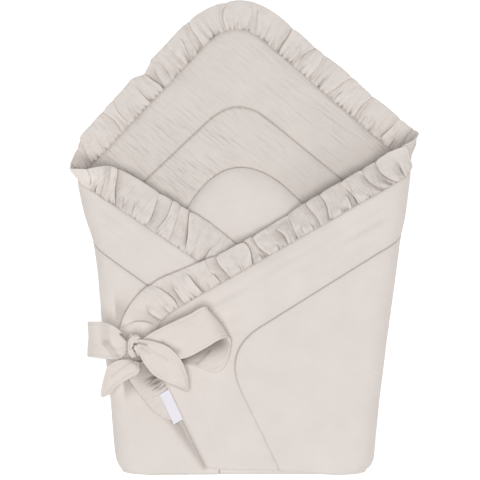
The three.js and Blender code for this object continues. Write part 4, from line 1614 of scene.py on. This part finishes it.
@dataclass
class StitchRun:
    """Sewing stitches set along a line by a node tree.

    Attributes:
        spacing: Distance from stitch to stitch, in metres.
        length: Length of a stitch.
        thread: Thickness of the thread.
    """

    spacing: float = 0.0042
    length: float = 0.0028
    thread: float = 0.0006

    def tree(self) -> bpy.types.GeometryNodeTree:
        """Makes the node tree that sets a small rounded stitch at each step along a line.

        Returns:
            The node tree.
        """
        tree = bpy.data.node_groups.new("stitch_run", "GeometryNodeTree")
        for name, kind in (("Line", "NodeSocketGeometry"), ("Spacing", "NodeSocketFloat"),
                           ("Stitch Size", "NodeSocketVector"), ("Thread Finish", "NodeSocketMaterial")):
            tree.interface.new_socket(name, in_out="INPUT", socket_type=kind)
        tree.interface.new_socket("Stitches", in_out="OUTPUT", socket_type="NodeSocketGeometry")
        sheet = NodeSheet(tree)
        given = sheet.add("NodeGroupInput").outputs
        line = sheet.add("GeometryNodeMeshToCurve", Mesh=given["Line"]).outputs[0]
        points = sheet.add(
            "GeometryNodeCurveToPoints", {"mode": "LENGTH"}, Curve=line, Length=given["Spacing"],
        )
        turn = sheet.add("FunctionNodeAlignRotationToVector", {"axis": "X"}, Vector=points.outputs["Tangent"])
        bead = sheet.add("GeometryNodeMeshIcoSphere", Radius=1.0, Subdivisions=1).outputs["Mesh"]
        wobble = sheet.add("FunctionNodeRandomValue", {"data_type": "FLOAT"}, Seed=7)
        wobble.inputs[2].default_value = 0.88
        wobble.inputs[3].default_value = 1.12
        size = sheet.add("ShaderNodeVectorMath", {"operation": "SCALE"}, _0=given["Stitch Size"],
                         Scale=wobble.outputs[1]).outputs[0]
        placed = sheet.add(
            "GeometryNodeInstanceOnPoints", Points=points.outputs["Points"], Instance=bead,
            Rotation=turn.outputs[0], Scale=size,
        ).outputs[0]
        made = sheet.add("GeometryNodeRealizeInstances", Geometry=placed).outputs[0]
        dressed = sheet.add(
            "GeometryNodeSetMaterial", Geometry=made, Material=given["Thread Finish"],
        ).outputs[0]
        sheet.add("NodeGroupOutput", Stitches=dressed)
        return tree

    def sew(self, name: str, lines: Sequence[Array], material: bpy.types.Material) -> bpy.types.Object:
        """Sews stitches along lines.

        Args:
            name: Name of the piece.
            lines: Points of each line, in millimetres.
            material: The thread's finish.

        Returns:
            The stitches as one mesh.
        """
        vertices, edges = [], []
        for line in lines:
            start = len(vertices)
            vertices += ((line + FRAME_SHIFT) * MM).tolist()
            edges += [(start + k, start + k + 1) for k in range(len(line) - 1)]
        mesh = bpy.data.meshes.new(name + "_line")
        mesh.from_pydata(vertices, edges, [])
        guide = bpy.data.objects.new(name, mesh)
        bpy.context.collection.objects.link(guide)
        tree = self.tree()
        modifier = guide.modifiers.new("stitches", "NODES")
        modifier.node_group = tree
        keys = {item.name: item.identifier for item in tree.interface.items_tree if item.in_out == "INPUT"}
        modifier[keys["Spacing"]] = self.spacing
        modifier[keys["Stitch Size"]] = (self.length / 2, self.thread / 2, self.thread / 2)
        modifier[keys["Thread Finish"]] = material
        guide.update_tag()
        view = bpy.context.evaluated_depsgraph_get()
        made = bpy.data.meshes.new_from_object(guide.evaluated_get(view))
        guide.modifiers.clear()
        guide.data = made
        return guide


@dataclass
class Studio:
    """The camera straight above, a pale floor and soft daylight.

    Attributes:
        camera_height: Height of the camera.
        lens: Its focal length in millimetres.
        camera_at: Where it hangs.
        floor_half: Half of the floor's side.
        floor_glow: Light that the floor gives off.
        room_glow: Light of the white surroundings.
        lamp_size: Width of the round soft box.
        lamp_power: Its power in watts.
        lamp_at: Where it hangs, aimed at the wrap.
    """

    camera_height: float = 5.04
    lens: float = 279.2
    camera_at: tuple[float, float] = (-0.00367, -0.00245)
    floor_half: float = 4.0
    floor_glow: float = 0.42
    room_glow: float = 0.235
    lamp_size: float = 4.0
    lamp_power: float = 250.0
    lamp_at: tuple[float, float, float] = (0.0, -0.75, 5.6)

    def camera(self) -> None:
        """Hangs the camera."""
        data = bpy.data.cameras.new("overhead_camera")
        data.sensor_width = 36.0
        data.lens = self.lens
        data.clip_end = 20.0
        camera = bpy.data.objects.new("overhead_camera", data)
        camera.location = (*self.camera_at, self.camera_height)
        bpy.context.collection.objects.link(camera)
        bpy.context.scene.camera = camera

    def floor(self) -> bpy.types.Object:
        """Lays the pale floor.

        Returns:
            The floor.
        """
        half = self.floor_half
        mesh = bpy.data.meshes.new("studio_floor")
        corners = [(x * half, y * half, -0.002) for x, y in ((-1, -1), (1, -1), (1, 1), (-1, 1))]
        mesh.from_pydata(corners, [], [(0, 1, 2, 3)])
        material = bpy.data.materials.new("studio_floor_paint")
        material.use_nodes = True
        sheet = NodeSheet(material.node_tree)
        surface = sheet.add("ShaderNodeBsdfPrincipled", Base_Color=(0.9, 0.9, 0.9, 1), Roughness=0.9)
        surface.inputs["Emission Color"].default_value = (1, 1, 1, 1)
        surface.inputs["Emission Strength"].default_value = self.floor_glow
        sheet.add("ShaderNodeOutputMaterial", Surface=surface.outputs[0])
        mesh.materials.append(material)
        floor = bpy.data.objects.new("studio_floor", mesh)
        bpy.context.collection.objects.link(floor)
        return floor

    def lights(self) -> None:
        """Sets the white surroundings and one large soft box overhead, towards the foot of the wrap."""
        world = bpy.data.worlds.new("white_room")
        world.use_nodes = True
        sheet = NodeSheet(world.node_tree)
        glow = sheet.add("ShaderNodeBackground", Color=(1.0, 1.0, 1.0, 1.0), Strength=self.room_glow)
        sheet.add("ShaderNodeOutputWorld", Surface=glow.outputs[0])
        bpy.context.scene.world = world
        data = bpy.data.lights.new("ceiling_softbox", "AREA")
        data.shape = "DISK"
        data.size = self.lamp_size
        data.energy = self.lamp_power
        lamp = bpy.data.objects.new("ceiling_softbox", data)
        lamp.location = self.lamp_at
        aim = -np.array(lamp.location)
        tilt = math.acos(-aim[2] / np.linalg.norm(aim))
        lamp.rotation_euler = (tilt, 0.0, math.atan2(aim[1], aim[0]) - math.pi / 2)
        bpy.context.collection.objects.link(lamp)
        bpy.context.scene.view_settings.view_transform = "Standard"


COTTON = ClothFinish(
    "cover_cotton", (0.80, 0.735, 0.692), Crinkle.SMOOTH, turn=29.0, depth=0.0005,
    worn_at=(-0.13, -0.02, 0.045), worn_reach=0.16, worn_gain=1.9,
)
LINING = ClothFinish(
    "lining_muslin", (0.78, 0.718, 0.672), Crinkle.CRINKLED, turn=40.0, depth=0.0013,
    worn_at=(-0.10, 0.07, 0.01), worn_reach=0.15, worn_gain=1.9,
)
FRILL_MUSLIN = ClothFinish(
    "frill_muslin", (0.79, 0.727, 0.683), Crinkle.CRINKLED, turn=82.0, depth=0.0012, painted_shade_dark=0.9,
)
RIBBON_MUSLIN = ClothFinish(
    "ribbon_muslin", (0.80, 0.735, 0.685), Crinkle.CRINKLED, turn=0.0, depth=0.0007, painted_shade_dark=0.72,
)
LABEL_SATIN = ClothFinish(
    "label_satin", (0.86, 0.83, 0.90), Crinkle.SATIN, depth=0.0001, roughness=0.5, sheen=0.3,
)
THREAD = ClothFinish("sewing_thread", (0.78, 0.72, 0.67), Crinkle.SMOOTH, depth=0.0001)


def sewn_edge(lines: dict[str, Array]) -> SewnEdge:
    """The sewn edge of the folded square, from its first rows.

    Args:
        lines: The square's edge and the row inside it, with the edge's way up.

    Returns:
        The edge from the left wing's foot to the right wing's.
    """
    middle = lines["edge"]
    normal = unit(lines["edge_normal"])
    steps = np.linalg.norm(np.diff(middle, axis=0), axis=1)
    along = np.concatenate([[0.0], np.cumsum(steps)])
    keep = np.concatenate([[True], steps > 1e-4])
    middle, normal, along = middle[keep], normal[keep], along[keep]
    tangent = unit(np.gradient(middle, along, axis=0))
    out = unit(np.cross(tangent, normal))
    inner = lines["inner"][keep]
    flip = np.sign(np.sum((middle - inner) * out, axis=1, keepdims=True).mean())
    return SewnEdge(middle=middle, out=out * flip, normal=normal, along=along)


def stitch_lines(square: PaddedSquare, lines: dict[str, Array]) -> list[Array]:
    """The stitch line on both faces of the wings and on the open face of the back.

    Args:
        square: The padded square.
        lines: Its stitch line, with thickness and way up.

    Returns:
        The points of each run of stitches.
    """
    spans = square.column_spans()
    offset = (lines["stitch_thick"] / 2 + 0.05)[:, None] * lines["stitch_normal"]
    outer = lines["stitch"] + offset
    inner = lines["stitch"] - offset
    left_end = spans["left_bend"].stop
    right_start = spans["right_bend"].start
    return [inner, outer[:left_end], outer[right_start:]]


def join_frame(piece: bpy.types.Object, node: str | None = None) -> None:
    """Fixes a piece to the wrap's body and hides the part that it takes the place of.

    Args:
        piece: The piece.
        node: Part of the model that it takes the place of, if it does.
    """
    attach(piece, "root")
    if node:
        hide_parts(node)


def sheet_area(sheet: Sheet) -> float:
    """Area of a sheet's middle surface, in square metres.

    Args:
        sheet: The cloth.

    Returns:
        Its area.
    """
    total = 0.0
    for face in sheet.faces:
        points = sheet.middle[list(face)]
        for k in range(1, len(face) - 1):
            total += float(np.linalg.norm(np.cross(points[k] - points[0], points[k + 1] - points[0]))) / 2
    return total * MM * MM


def main() -> None:
    """Builds the wrap piece by piece, dresses it and sets it in the studio."""
    logging.basicConfig(level=logging.INFO, format="%(name)s: %(message)s")
    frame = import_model()
    LOG.info("frame loaded: %s", type(frame).__name__)
    studio = Studio()
    studio.camera()
    cotton, lining, frill_cloth = COTTON.material(), LINING.material(), FRILL_MUSLIN.material()
    ribbon_cloth, satin, thread = RIBBON_MUSLIN.material(), LABEL_SATIN.material(), THREAD.material()
    square = PaddedSquare()
    cloth, lines = square.fold()
    pad = ClothSolid(cloth).build("quilted_pad_cloth", [cotton, lining])
    join_frame(pad, "quilted_pad")
    LOG.info("padded square: %d faces", len(pad.data.polygons))
    edge = sewn_edge(lines)
    frill_sheet = GatheredFrill().sheet(edge)
    frill = ClothSolid(frill_sheet).build("frill_cloth", [frill_cloth])
    join_frame(frill, "frill")
    LOG.info("frill: %d faces, mid area %.4f m2", len(frill.data.polygons), sheet_area(frill_sheet))
    for ribbon in RIBBONS:
        sheet = ribbon.sheet()
        piece = ClothSolid(sheet).build(ribbon.name, [ribbon_cloth])
        join_frame(piece, ribbon.node)
        LOG.info("%s: %d faces, mid area %.5f m2", ribbon.name, len(piece.data.polygons), sheet_area(sheet))
    knot = Knot().build(ribbon_cloth)
    join_frame(knot, "bow_knot")
    label_sheet = SewnLabel().sheet()
    label = ClothSolid(label_sheet, rim_steps=1).build("label_tape", [satin])
    join_frame(label, "label")
    LOG.info("label: mid area %.6f m2", sheet_area(label_sheet))
    stitches = StitchRun().sew("quilting_stitches", stitch_lines(square, lines), thread)
    join_frame(stitches)
    LOG.info("stitches: %d faces", len(stitches.data.polygons))
    studio.floor()
    studio.lights()


if __name__ == "__main__":
    main()
